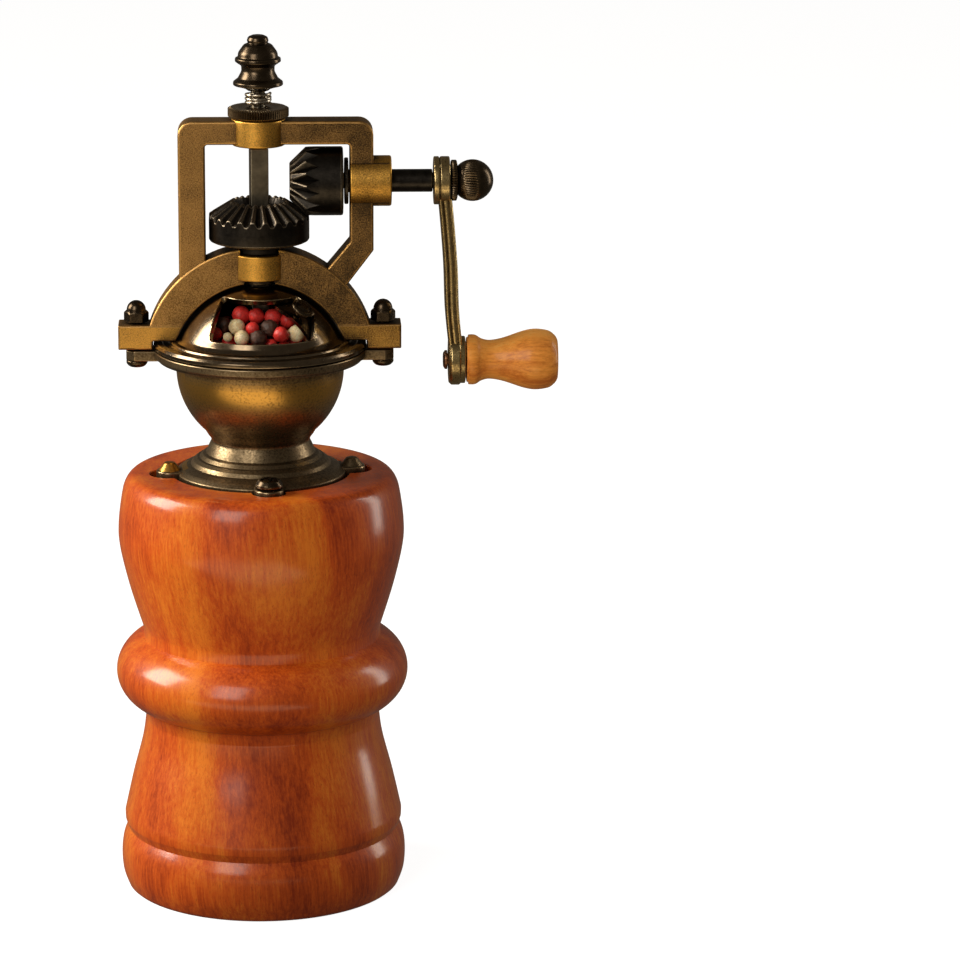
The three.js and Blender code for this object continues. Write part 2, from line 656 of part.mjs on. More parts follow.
function crankHandle() {
  const outline = smooth([[6.3, HANDLE_START + 0.6], [6.3, 53.9], [5.4, 55.4], [4.9, 57.6],
    [5.5, 61], [7.1, 65.8], [7.65, 69], [7.1, 72.6], [5.6, 74.2]], 14);
  return turned([[0, 70.4], [1.95, 70.4], [1.95, HANDLE_START], [5.7, HANDLE_START],
    ...outline, [0, HANDLE_END]]);
}

// ---------------------------------------------------------------- assembly

function piece(name, solid, material) {
  const mesh = new THREE.Mesh(toGeometry(solid), material);
  mesh.name = name;
  return mesh;
}

const mill = new THREE.Group();
mill.position.x = MILL_AXIS_X;

mill.add(
  piece('wood_body', woodBody(), LACQUERED_WOOD),
  piece('hopper_bowl', hopperBowl(), ANTIQUE_BRASS),
  piece('hopper_dome', hopperDome(), POLISHED_BRONZE),
  piece('hopper_door', hopperDoor(), POLISHED_BRONZE),
  piece('bracket', bracket(), ANTIQUE_BRASS),
  piece('outer_burr', outerBurr(), BLACKENED_STEEL),
  piece('inner_burr', innerBurr(), GREY_STEEL),
  piece('spindle', spindle(), GREY_STEEL),
  piece('spindle_bush', ring(3.5, 4.1, 156.5, LOWER_BOSS_BOTTOM - GAP), DARK_BRONZE),
  piece('drive_gear', driveGear(), BLACKENED_STEEL),
  piece('adjusting_nut', adjustingNut(), DARK_BRONZE),
  piece('adjusting_spring', adjustingSpring(), GREY_STEEL),
  piece('finial_nut', finialNut(), DARK_BRONZE),
);

// The knob points straight out of the dome.
const knob = piece('door_knob', doorKnob(), DARK_BRONZE);
knob.position.z = HOPPER_Z;
knob.rotation.set(0, radians(90 - KNOB_LATITUDE), radians(KNOB_ANGLE), 'ZYX');
mill.add(knob);

for (const [side, x] of [['left', -FOOT_BOLT_X], ['right', FOOT_BOLT_X]]) {
  const bolt = piece(`foot_bolt_${side}`, footBolt(), DARK_BRONZE);
  const nut = piece(`acorn_nut_${side}`, acornNut(), DARK_BRONZE);
  bolt.position.x = x;
  nut.position.x = x;
  mill.add(bolt, nut);
}

for (const [place, angle] of [['front', screwAngles[0]], ['back', screwAngles[1]]]) {
  const screw = piece(`flange_screw_${place}`, flangeScrew(), DARK_BRONZE);
  screw.position.x = EAR_CIRCLE * Math.cos(radians(angle));
  screw.position.y = EAR_CIRCLE * Math.sin(radians(angle));
  mill.add(screw);
}

// In this group +Z runs along the shaft and +X runs down the crank arm.
const crankLine = new THREE.Group();
crankLine.position.z = CRANK_Z;
crankLine.rotation.y = Math.PI / 2;
crankLine.add(
  piece('crank_shaft', crankShaft(), BLACKENED_STEEL),
  piece('pinion', pinion(), BLACKENED_STEEL),
  piece('thrust_washer', thrustWasher(), BLACKENED_STEEL),
  piece('crank_arm', crankArm(), ANTIQUE_BRASS),
  piece('crank_nut', crankNut(), DARK_BRONZE),
);

const handleLine = new THREE.Group();
handleLine.position.x = CRANK_THROW;
handleLine.add(
  piece('handle_rivet', handleRivet(), DARK_BRONZE),
  piece('crank_handle', crankHandle(), HANDLE_WOOD),
);
crankLine.add(handleLine);
mill.add(crankLine);

export default mill;
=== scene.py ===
import json
import math
import random

import bmesh
import bpy
import numpy as np
from mathutils import Matrix, Vector, noise


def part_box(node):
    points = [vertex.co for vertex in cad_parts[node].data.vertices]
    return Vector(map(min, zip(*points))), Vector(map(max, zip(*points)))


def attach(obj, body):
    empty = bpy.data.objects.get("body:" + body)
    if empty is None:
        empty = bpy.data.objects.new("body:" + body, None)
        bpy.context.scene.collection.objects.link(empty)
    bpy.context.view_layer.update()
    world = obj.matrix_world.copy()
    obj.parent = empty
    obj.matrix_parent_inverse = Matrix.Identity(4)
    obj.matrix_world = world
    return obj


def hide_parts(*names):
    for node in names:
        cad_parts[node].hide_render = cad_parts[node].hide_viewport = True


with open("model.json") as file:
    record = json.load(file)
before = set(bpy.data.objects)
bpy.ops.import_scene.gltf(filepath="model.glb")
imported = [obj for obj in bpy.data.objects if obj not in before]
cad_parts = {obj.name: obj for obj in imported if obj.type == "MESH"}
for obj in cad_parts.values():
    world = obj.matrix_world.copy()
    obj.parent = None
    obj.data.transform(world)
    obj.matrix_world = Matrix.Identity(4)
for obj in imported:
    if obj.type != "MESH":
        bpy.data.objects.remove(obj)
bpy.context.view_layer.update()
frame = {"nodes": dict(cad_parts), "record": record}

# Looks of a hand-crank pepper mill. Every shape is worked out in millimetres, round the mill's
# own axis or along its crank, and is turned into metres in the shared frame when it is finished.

MM = 0.001

# --- places, from the frame


def low(node):
    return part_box(node)[0] / MM


def high(node):
    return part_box(node)[1] / MM


def middle(node, axis):
    return (low(node)[axis] + high(node)[axis]) / 2


def heights(node):
    return low(node).z, high(node).z


def along(node):
    """Where a piece of the crank starts and ends along the shaft."""
    return low(node).x - AXIS_X, high(node).x - AXIS_X


def side_line(height):
    """Stands a piece made round Z along the crank's direction."""
    return Matrix.Translation((AXIS_X, 0, height)) @ Matrix.Rotation(math.pi / 2, 4, "Y")


AXIS_X = middle("wood_body", 0)
CRANK_Z = middle("pinion", 2)
HANDLE_Z = middle("crank_handle", 2)
FOOT_BOLT_X = middle("foot_bolt_right", 0) - AXIS_X
FOOT_SIDES = {"left": -FOOT_BOLT_X, "right": FOOT_BOLT_X}

MILL_LINE = Matrix.Translation((AXIS_X, 0, 0))
CRANK_LINE = side_line(CRANK_Z)
HANDLE_LINE = side_line(HANDLE_Z)

# --- outlines


def polar(radius, degrees):
    return radius * math.cos(math.radians(degrees)), radius * math.sin(math.radians(degrees))


def arc(x, y, radius, start, end, steps):
    """Points of a circle's arc, angles in degrees."""
    angles = [math.radians(start + (end - start) * k / steps) for k in range(steps + 1)]
    return [(x + radius * math.cos(a), y + radius * math.sin(a)) for a in angles]


def smooth(points, steps):
    """Points of a smooth curve through the given ones."""
    ends = [points[0], *points, points[-1]]
    made = []
    for k in range(steps + 1):
        place = k / steps * (len(points) - 1)
        i = min(int(place), len(points) - 2)
        t = place - i
        p0, p1, p2, p3 = (Vector(p) for p in ends[i:i + 4])
        v0, v1 = (p2 - p0) / 2, (p3 - p1) / 2
        point = ((2 * p1 - 2 * p2 + v0 + v1) * t ** 3
                 + (-3 * p1 + 3 * p2 - 2 * v0 - v1) * t ** 2 + v0 * t + p1)
        made.append((point.x, point.y))
    return made


def rounded(points, closed=False, steps=4):
    """The outline with every (x, y, radius) corner rounded; an (x, y) corner stays sharp."""
    made = []
    for k, corner in enumerate(points):
        if len(corner) == 2:
            made.append(corner)
            continue
        here = Vector(corner[:2])
        to_last = Vector(points[k - 1][:2]) - here
        to_next = Vector(points[(k + 1) % len(points)][:2]) - here
        half = to_last.angle(to_next) / 2
        reach = min(corner[2] / math.tan(half), 0.49 * to_last.length, 0.49 * to_next.length)
        middle = here + (to_last.normalized() + to_next.normalized()).normalized() * (
            reach / math.cos(half))
        first = here + to_last.normalized() * reach - middle
        last = here + to_next.normalized() * reach - middle
        turn = first.angle_signed(last)
        for step in range(steps + 1):
            spoke = first.copy()
            spoke.rotate(Matrix.Rotation(-turn * step / steps, 2))
            made.append(tuple(middle + spoke))
    return made


# --- meshes


def add_object(name, data):
    made = bpy.data.objects.new(name, data)
    bpy.context.scene.collection.objects.link(made)
    return made


def mesh_object(name, points, faces):
    mesh = bpy.data.meshes.new(name)
    mesh.from_pydata(points, [], faces)
    return clean(add_object(name, mesh))


def clean(piece):
    """Merges doubled points, turns every face outwards and drops loose points."""
    work = bmesh.new()
    work.from_mesh(piece.data)
    bmesh.ops.remove_doubles(work, verts=work.verts, dist=1e-4)
    bmesh.ops.dissolve_degenerate(work, edges=work.edges, dist=1e-5)
    bmesh.ops.recalc_face_normals(work, faces=work.faces)
    loose = [v for v in work.verts if not v.link_faces]
    bmesh.ops.delete(work, geom=loose, context="VERTS")
    work.to_mesh(piece.data)
    work.free()
    return piece


FINE_COLUMNS = 160                # round the wide turned pieces


def revolved(name, outline_at, columns, closed=False):
    """Solid round Z. outline_at(angle) gives the [radius, height] outline at that angle."""
    rings = []
    for k in range(columns):
        angle = 2 * math.pi * k / columns
        rings.append([(r * math.cos(angle), r * math.sin(angle), z)
                      for r, z in outline_at(angle)])
    rows = len(rings[0])
    faces = []
    for k in range(columns):
        following = (k + 1) % columns
        for row in range(rows if closed else rows - 1):
            above = (row + 1) % rows
            faces.append((k * rows + row, following * rows + row,
                          following * rows + above, k * rows + above))
    return mesh_object(name, [point for ring in rings for point in ring], faces)


def turned(name, outline, columns=96, closed=False):
    return revolved(name, lambda angle: outline, columns, closed)


def bar(radius, bottom, top, columns=48, x=0, y=0):
    """Round cutting bar along Z."""
    made = turned("bar", [(0, bottom), (radius, bottom), (radius, top), (0, top)], columns)
    made.data.transform(Matrix.Translation((x, y, 0)))
    return made


def loft(name, loops):
    """Solid through closed loops of points, each with as many points as the others."""
    count = len(loops[0])
    faces = [tuple(range(count)), tuple(range((len(loops) - 1) * count, len(loops) * count))]
    for row in range(len(loops) - 1):
        for k in range(count):
            following = (k + 1) % count
            faces.append((row * count + k, row * count + following,
                          (row + 1) * count + following, (row + 1) * count + k))
    return mesh_object(name, [point for loop in loops for point in loop], faces)


def slab(name, outlines, depth, bevel):
    """Flat plate in XY, centred on Z = 0, with round edges. Further outlines are holes."""
    curve = bpy.data.curves.new(name, "CURVE")
    curve.dimensions = "2D"
    curve.fill_mode = "BOTH"
    curve.extrude = depth / 2 - bevel
    curve.bevel_depth = bevel
    curve.bevel_resolution = 2
    curve.offset = -bevel
    for outline in outlines:
        spline = curve.splines.new("POLY")
        spline.points.add(len(outline) - 1)
        for point, (x, y) in zip(spline.points, outline):
            point.co = (x, y, 0, 1)
        spline.use_cyclic_u = True
    holder = bpy.data.objects.new(name, curve)
    mesh = bpy.data.meshes.new_from_object(holder)
    bpy.data.objects.remove(holder)
    return clean(add_object(name, mesh))


def plate(outline, bottom, top, bevel):
    """Flat plate in XY between two heights."""
    return moved(slab("plate", [outline], top - bottom, bevel), z=(top + bottom) / 2)


def upright(piece):
    """Stands a plate that lies in XY up in XZ."""
    piece.data.transform(Matrix.Rotation(math.pi / 2, 4, "X"))
    return piece


def apply_modifiers(piece):
    bpy.context.view_layer.update()
    graph = bpy.context.evaluated_depsgraph_get()
    mesh = bpy.data.meshes.new_from_object(piece.evaluated_get(graph))
    piece.modifiers.clear()
    piece.data = mesh


def combine(piece, operation, others):
    """Joins or cuts a piece with others, which are used up."""
    for other in others:
        modifier = piece.modifiers.new("boolean", "BOOLEAN")
        modifier.operation = operation
        modifier.solver = "EXACT"
        modifier.object = other
        apply_modifiers(piece)
        bpy.data.objects.remove(other)
    return clean(piece)


def join(piece, *others):
    return combine(piece, "UNION", others)


def cut(piece, *others):
    return combine(piece, "DIFFERENCE", others)


def moved(piece, x=0, y=0, z=0):
    piece.data.transform(Matrix.Translation((x, y, z)))
    return piece


def turned_by(piece, degrees, axis="Z"):
    piece.data.transform(Matrix.Rotation(math.radians(degrees), 4, axis))
    return piece


WEAR_START = 4                    # degrees of bend at which an edge starts to show wear
WEAR_RANGE = 12                   # degrees from there to full wear


def mark_edges(mesh, wear):
    """Stores on each face how sharply its surface bends outwards, for wear on the edges."""
    normals = np.empty(len(mesh.loops) * 3, np.float32)
    mesh.corner_normals.foreach_get("vector", normals)
    normals = normals.reshape(-1, 3)
    points = np.array([v.co for v in mesh.vertices], np.float32).reshape(-1, 3)
    bend = np.zeros(len(mesh.polygons), np.float32)
    for face in mesh.polygons:
        corners = normals[face.loop_start:face.loop_start + face.loop_total]
        places = points[list(face.vertices)] - np.array(face.center, np.float32)
        tilt = math.degrees(math.acos(min(1.0, float((corners @ np.array(face.normal)).min()))))
        outwards = float((corners * places).sum()) > 0
        share = min(1.0, max(0.0, (tilt - WEAR_START) / WEAR_RANGE))
        bend[face.index] = wear * share if outwards else 0.0
    mesh.attributes.new("worn", "FLOAT", "FACE").data.foreach_set("value", bend)


def mark_polish_and_sheen(mesh, polish_and_sheen_at):
    """Stores on each face how bright its brass is, from real polish and from painted sheen and
    highlights; the given function takes x, y, z in millimetres.
    """
    centres = [face.center / MM - Vector((AXIS_X, 0, 0)) for face in mesh.polygons]
    polish_and_sheen = [polish_and_sheen_at(*centre) for centre in centres]
    mesh.attributes.new("polish_and_sheen", "FLOAT", "FACE").data.foreach_set("value", polish_and_sheen)


BODY_OF = {node: body for body, nodes in frame["record"]["behaviour"]["bodies"].items()
           for node in nodes}


def finish(piece, node, look, place=MILL_LINE, sharp=38, wear=1.0):
    """Puts a piece in the frame in place of its CAD node, with its shading and material."""
    piece.name = node + "_look"
    piece.data.transform(Matrix.Scale(MM, 4) @ place)
    piece.data.shade_smooth()
    piece.data.set_sharp_from_angle(angle=math.radians(sharp))
    piece.modifiers.new("weights", "WEIGHTED_NORMAL").keep_sharp = True
    apply_modifiers(piece)
    piece.data.name = piece.name
    mark_edges(piece.data, wear)
    slot, material = look
    piece.data.materials.clear()
    piece.data.materials.append(material)
    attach(piece, BODY_OF[node])
    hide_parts(node)


def turned_piece(node, columns, corners, look, place=MILL_LINE, closed=False):
    """A piece that is only turned from one outline."""
    finish(turned(node, rounded(corners, closed), columns, closed), node, look, place)


def keep(node, material):
    """Gives a CAD node that stays as it is a material."""
    mesh = frame["nodes"][node].data
    mesh.materials.clear()
    mesh.materials.append(material)
    for face in mesh.polygons:
        face.material_index = 0


# --- material building


class Shader:
    """One material under construction."""

    def __init__(self, name, roughness=0.5, metallic=0.0, **fixed):
        self.material = bpy.data.materials.new(name)
        self.material.use_nodes = True
        self.tree = self.material.node_tree
        self.surface = self.tree.nodes["Principled BSDF"]
        self.surface.inputs["Roughness"].default_value = roughness
        self.surface.inputs["Metallic"].default_value = metallic
        for socket, value in fixed.items():
            self.surface.inputs[socket.replace("_", " ")].default_value = value

    def add(self, kind, inputs, **settings):
        node = self.tree.nodes.new("ShaderNode" + kind)
        for key, value in settings.items():
            setattr(node, key, value)
        for key, value in inputs.items():
            if isinstance(value, bpy.types.NodeSocket):
                self.tree.links.new(value, node.inputs[key])
            else:
                node.inputs[key].default_value = value
        return node

    def place(self, stretch=(1, 1, 1), tilt=0):
        """Position on the piece in millimetres, tilted round Y and stretched."""
        place = self.add("TexCoord", {}).outputs["Object"]
        turn = (0, math.radians(tilt), 0)
        place = self.add("Mapping", {"Vector": place, "Rotation": turn}).outputs["Vector"]
        scale = [share / MM for share in stretch]
        return self.add("Mapping", {"Vector": place, "Scale": scale}).outputs["Vector"]

    def noise(self, vector, scale, detail=3.0, roughness=0.55, distortion=0.0):
        inputs = {"Vector": vector, "Scale": scale, "Detail": detail, "Roughness": roughness,
                  "Distortion": distortion}
        return self.add("TexNoise", inputs).outputs["Fac"]

    def spread(self, value, start, end, low=0.0, high=1.0):
        """Maps a value from one range to another, clamped."""
        inputs = {"Value": value, "From Min": start, "From Max": end, "To Min": low,
                  "To Max": high}
        return self.add("MapRange", inputs).outputs["Result"]

    def math(self, operation, first, second):
        return self.add("Math", {0: first, 1: second}, operation=operation).outputs["Value"]

    def times(self, first, second):
        return self.math("MULTIPLY", first, second)

    def total(self, first, *others):
        for other in others:
            first = self.math("ADD", first, other)
        return first

    def mix(self, share, first, second):
        node = self.add("Mix", {"Factor": share}, data_type="RGBA")
        for key, value in ((6, first), (7, second)):
            if isinstance(value, bpy.types.NodeSocket):
                self.tree.links.new(value, node.inputs[key])
            else:
                node.inputs[key].default_value = (*value, 1)
        return node.outputs[2]

    def ramp(self, value, stops):
        node = self.add("ValToRGB", {"Fac": value})
        elements = node.color_ramp.elements
        while len(elements) < len(stops):
            elements.new(0.5)
        for element, (position, colour) in zip(elements, stops):
            element.position = position
            element.color = (*colour, 1)
        return node.outputs["Color"]

    def bump(self, height, distance, strength=1.0, below=None):
        """Surface relief; distance is its depth in millimetres."""
        inputs = {"Height": height, "Distance": distance * MM, "Strength": strength}
        if below is not None:
            inputs["Normal"] = below
        return self.add("Bump", inputs).outputs["Normal"]

    def attribute(self, name):
        return self.add("Attribute", {}, attribute_name=name).outputs["Fac"]

    def crevice(self, distance):
        """1 in the open, falling to 0 deep in corners."""
        inputs = {"Distance": distance * MM}
        return self.add("AmbientOcclusion", inputs, samples=4).outputs["AO"]

    def cover(self, **outputs):
        for socket, output in outputs.items():
            self.tree.links.new(output, self.surface.inputs[socket.replace("_", " ")])
        return self.material


# --- materials


def wood(name, along, tilt, dark, middle, light, coat, roughness, pore_share):
    """Turned hardwood under lacquer: broad bands, streaks, fine figure and pores."""
    shader = Shader(name, Coat_Weight=coat, Coat_Roughness=0.19, Coat_IOR=1.45,
                    Specular_IOR_Level=0.15)

    def drawn_out(share, slant=0):
        return shader.place([share if axis == along else 1 for axis in "xyz"], slant)

    bands = shader.noise(drawn_out(0.3, tilt), 0.055, 2.0, 0.5, 0.6)
    streaks = shader.noise(drawn_out(0.05, 0.4 * tilt), 0.3, 2.0, 0.5)
    figure = shader.noise(drawn_out(0.07, 0.4 * tilt), 1.5, 4.0, 0.65)
    mottle = shader.noise(shader.place(), 1.1, 3.0, 0.6)
    tone = shader.total(shader.times(bands, 0.46), shader.times(streaks, 0.14),
                        shader.times(figure, 0.32), shader.times(mottle, 0.08))
    colour = shader.ramp(tone, [(0.37, dark), (0.49, middle), (0.62, light)])
    pores = shader.noise(drawn_out(0.14), 5.0, 2.0, 0.5)
    pore = shader.spread(pores, 0.58, 0.7, 0.0, pore_share)
    colour = shader.mix(pore, colour, tuple(0.4 * c for c in dark))
    relief = shader.bump(figure, 0.04, 0.5)
    return shader.cover(
        Base_Color=colour,
        Roughness=shader.spread(figure, 0.3, 0.7, roughness - 0.06, roughness + 0.08),
        Normal=shader.bump(pore, -0.03, 0.6, relief),
        Coat_Normal=shader.bump(mottle, 0.03, 0.35))


def cast_brass(name, bright, patina, roughness, grain, relief, patina_share, polish_and_sheen_colour,
               painted_shade_side=0.0):
    """Plated casting: patina in the hollows, stippled faces, bright edges and turned faces, with
    painted sheen on faces the face attribute marks and painted shade that darkens the brass
    towards the right.
    """
    shader = Shader(name, metallic=1.0)
    place = shader.place()
    cloud = shader.noise(place, 0.16, 4.0, 0.6)
    stipple = shader.noise(place, grain, 3.0, 0.65)
    pits = shader.noise(place, 1.1 * grain, 2.0, 0.5)
    across = shader.add("SeparateXYZ", {"Vector": place}).outputs["X"]
    # The face attribute brightens turned faces, which are polished, and also paints sheen and a
    # highlight on the hopper bowl.
    polish_and_sheen_mask = shader.attribute("polish_and_sheen")
    share = shader.total(
        shader.spread(cloud, 0.32, 0.68, -0.16, 0.16),
        shader.spread(stipple, 0.3, 0.7, patina_share - 0.46, patina_share + 0.46),
        # Painted shade: the brass grows darker towards the right, where less light falls.
        shader.spread(across, AXIS_X - 20, AXIS_X + 26, -0.5 * painted_shade_side, painted_shade_side),
        shader.spread(shader.crevice(2.5), 0.45, 0.95, 0.75, 0.0),
        shader.times(shader.spread(pits, 0.64, 0.70, 0.0, 0.7),
                     shader.math("SUBTRACT", 1.0, polish_and_sheen_mask)),
        shader.times(shader.attribute("worn"), -0.75),
        shader.times(polish_and_sheen_mask, -0.42))
    share = shader.spread(share, 0.0, 1.0)
    bright = shader.mix(polish_and_sheen_mask, bright, polish_and_sheen_colour)
    return shader.cover(
        Base_Color=shader.mix(share, bright, patina),
        Roughness=shader.spread(share, 0.0, 1.0, roughness - 0.06, roughness + 0.12),
        Normal=shader.bump(stipple, relief, 0.7))


def dark_metal(name, base, edge, roughness, variation=0.5, relief=0.015, brush=(1, 1, 1)):
    """Plated or blackened turned metal: soft blotches, fine tool marks and rubbed edges."""
    shader = Shader(name, metallic=1.0)
    cloud = shader.noise(shader.place(), 0.45, 4.0, 0.6)
    marks = shader.noise(shader.place(brush), 3.2, 3.0, 0.6)
    lighter = tuple(c * (1 + variation) for c in base)
    darker = tuple(c * (1 - variation) for c in base)
    colour = shader.mix(shader.spread(cloud, 0.32, 0.68), darker, lighter)
    rub = shader.times(shader.attribute("worn"), shader.spread(marks, 0.3, 0.6, 0.35, 1.0))
    return shader.cover(
        Base_Color=shader.mix(rub, colour, edge),
        Roughness=shader.spread(marks, 0.3, 0.7, roughness - 0.07, roughness + 0.1),
        Normal=shader.bump(marks, relief, 0.6))


def peppercorn_skin(name, base, spots, roughness, wrinkle):
    """Dried skin, blotched and finely wrinkled."""
    shader = Shader(name, Subsurface_Weight=0.08, Subsurface_Scale=0.001,
                    Specular_IOR_Level=0.4)
    place = shader.place()
    blotch = shader.noise(place, 0.7, 4.0, 0.6)
    skin = shader.noise(place, 3.0, 4.0, 0.65, 0.8)
    colour = shader.mix(shader.spread(blotch, 0.4, 0.65), base, spots)
    colour = shader.mix(shader.spread(skin, 0.55, 0.35, 0.0, 0.6), colour,
                        tuple(0.4 * c for c in spots))
    return shader.cover(
        Base_Color=colour,
        Roughness=shader.spread(blotch, 0.3, 0.7, roughness, roughness + 0.2),
        Normal=shader.bump(skin, wrinkle, 0.8))


# Each look is a slot's name with its material.
LACQUERED_WOOD = "lacquered_wood", wood(
    "lacquered_wood", "z", 9, (0.27, 0.028, 0.003), (0.53, 0.080, 0.007), (0.70, 0.185, 0.016),
    0.75, 0.42, 0.35)
HANDLE_WOOD = "handle_wood", wood(
    "handle_wood", "x", 0, (0.60, 0.17, 0.026), (0.92, 0.36, 0.062), (0.97, 0.52, 0.13), 0.3,
    0.45, 0.3)
TURNED_GOLD = (0.80, 0.43, 0.08)
# The last number darkens the bracket's brass towards the right as painted shade.
BRACKET_BRASS = "antique_brass", cast_brass(
    "bracket_brass", (0.52, 0.29, 0.095), (0.050, 0.032, 0.016), 0.42, 3.4, 0.09, 0.54,
    TURNED_GOLD, 0.32)
ARM_BRASS = "antique_brass", cast_brass(
    "arm_brass", (0.60, 0.45, 0.21), (0.10, 0.072, 0.036), 0.30, 2.2, 0.05, 0.42, TURNED_GOLD)
# The last colour is the brass of the painted sheen belt and of the painted highlight on the left
# post.
BOWL_BRASS = "antique_brass", cast_brass(
    "bowl_brass", (0.26, 0.19, 0.11), (0.060, 0.042, 0.022), 0.37, 1.8, 0.006, 0.42,
    (0.55, 0.30, 0.065))
DOME_BRONZE = "polished_bronze", dark_metal(
    "dome_bronze", (0.175, 0.13, 0.085), (0.55, 0.43, 0.27), 0.18, 0.15, 0.003)
DARK_BRONZE = "dark_bronze", dark_metal(
    "dark_bronze", (0.072, 0.052, 0.033), (0.24, 0.175, 0.10), 0.25, 0.3, 0.005)
KNURLED_BRONZE = "dark_bronze", dark_metal(
    "knurled_bronze", (0.15, 0.105, 0.062), (0.42, 0.31, 0.18), 0.3, 0.25, 0.006)
BLACK_STEEL = "black_steel", dark_metal(
    "black_steel", (0.030, 0.026, 0.022), (0.22, 0.18, 0.13), 0.34, 0.35, 0.02)
SPINDLE_STEEL = "spindle_steel", dark_metal(
    "spindle_steel", (0.20, 0.17, 0.125), (0.42, 0.37, 0.28), 0.36, 0.25, brush=(1, 1, 0.04))
SPRING_STEEL = "spindle_steel", dark_metal(
    "spring_steel", (0.32, 0.28, 0.22), (0.55, 0.50, 0.42), 0.28)
RIVET_COPPER = "dark_bronze", dark_metal(
    "rivet_copper", (0.22, 0.10, 0.055), (0.45, 0.25, 0.15), 0.35)
BURR_STEEL = dark_metal("burr_steel", (0.30, 0.29, 0.27), (0.6, 0.58, 0.54), 0.4)
CORN_SKINS = {
    "red": peppercorn_skin("red_peppercorn", (0.86, 0.055, 0.045), (0.55, 0.022, 0.018), 0.28,
                           0.06),
    "cream": peppercorn_skin("cream_peppercorn", (0.98, 0.86, 0.56), (0.80, 0.58, 0.28), 0.4,
                             0.06),
    "black": peppercorn_skin("black_peppercorn", (0.030, 0.015, 0.010), (0.11, 0.045, 0.025),
                             0.38, 0.2),
}

# --- wooden body

WOOD_TOP = high("wood_body").z
BEAD_RADIUS = high("wood_body").x - AXIS_X
BEAD_Z = 56.6
BEAD_CURVE = 11.5
BEAD_SQUASH = 0.87
WOOD_BORE = 16
RECESS_DEPTH = 0.3                # below the flange
FLANGE_BOTTOM = low("hopper_bowl").z
EAR_CIRCLE = 22.8
FRONT_EAR_ANGLE = -85
EAR_ANGLES = [FRONT_EAR_ANGLE + 90 * k for k in range(4)]
SCREW_ANGLES = EAR_ANGLES[0::2]
POST_ANGLES = EAR_ANGLES[1::2]
PILOT_HOLE, EAR_HOLE, SCREW_SEAT = 1.7, 1.9, 3.7      # radii under, in and on a screw's ear


def wood_body():
    recess_floor = FLANGE_BOTTOM - RECESS_DEPTH
    bead = [(r, BEAD_Z + BEAD_SQUASH * z)
            for r, z in arc(BEAD_RADIUS - BEAD_CURVE, 0, BEAD_CURVE, -66, 66, 28)]
    outline = rounded([
        (WOOD_BORE, 0, 0.6),
        (34.2, 0, 0.3),
        *smooth([(34.8, 0.5), (36, 4), (36.3, 8.5), (35.8, 12.5), (34.6, 15.4)], 16),
        (35.3, 17.4, 0.6),
        *smooth([(35.35, 19), (33.1, 29), (30.6, 38.6), (29.7, 44.8)], 18),
        *bead,
        *smooth([(30, 68), (33.4, 79), (35.7, 89), (36, 95), (35.1, 102.3), (34.2, 105.6),
                 (32.6, 107.5), (30.4, WOOD_TOP)], 40),
        (22.4, WOOD_TOP, 0.5),
        (21.8, recess_floor, 0.3),
        (WOOD_BORE, recess_floor, 0.3),
    ], closed=True)
    body = turned("wood", outline, FINE_COLUMNS, closed=True)
    pockets = [(angle, 4.1, EAR_CIRCLE) for angle in SCREW_ANGLES]
    pockets += [(angle, 4.9, EAR_CIRCLE + 0.3) for angle in POST_ANGLES]
    for angle, radius, out in pockets:
        edge = arc(radius + 0.4, WOOD_TOP - 0.4, 0.4, 180, 90, 4)
        pocket = [(0, recess_floor), (radius, recess_floor), *edge, (radius + 0.4, WOOD_TOP + 1),
                  (0, WOOD_TOP + 1)]
        cut(body, moved(turned("pocket", pocket, 48), *polar(out, angle)))
    for angle in SCREW_ANGLES:
        cut(body, bar(PILOT_HOLE, 90, FLANGE_BOTTOM, 24, *polar(EAR_CIRCLE, angle)))
    finish(body, "wood_body", LACQUERED_WOOD)


# --- hopper

HOPPER_Z = 134.5
FLANGE_TOP = 109.3
RIM_RADIUS = 26.6
RIM_TOP = high("hopper_bowl").z
RIM_BOTTOM = RIM_TOP - 2.7
LUG_END = high("hopper_bowl").x - AXIS_X
DOME_RADIUS = 22
DOME_INNER = 20.6
BOLT_HOLE = 1.85
SHEEN_BELT_BOTTOM, SHEEN_BELT_RISE = 123.5, 7      # the bowl's bright belt of painted sheen: its lower end, and how it grows


def bolt_holes(bottom, top):
    """Bars that cut the foot bolts' holes through a piece between two heights."""
    return [bar(BOLT_HOLE, bottom - 1, top + 1, 24, x) for x in FOOT_SIDES.values()]


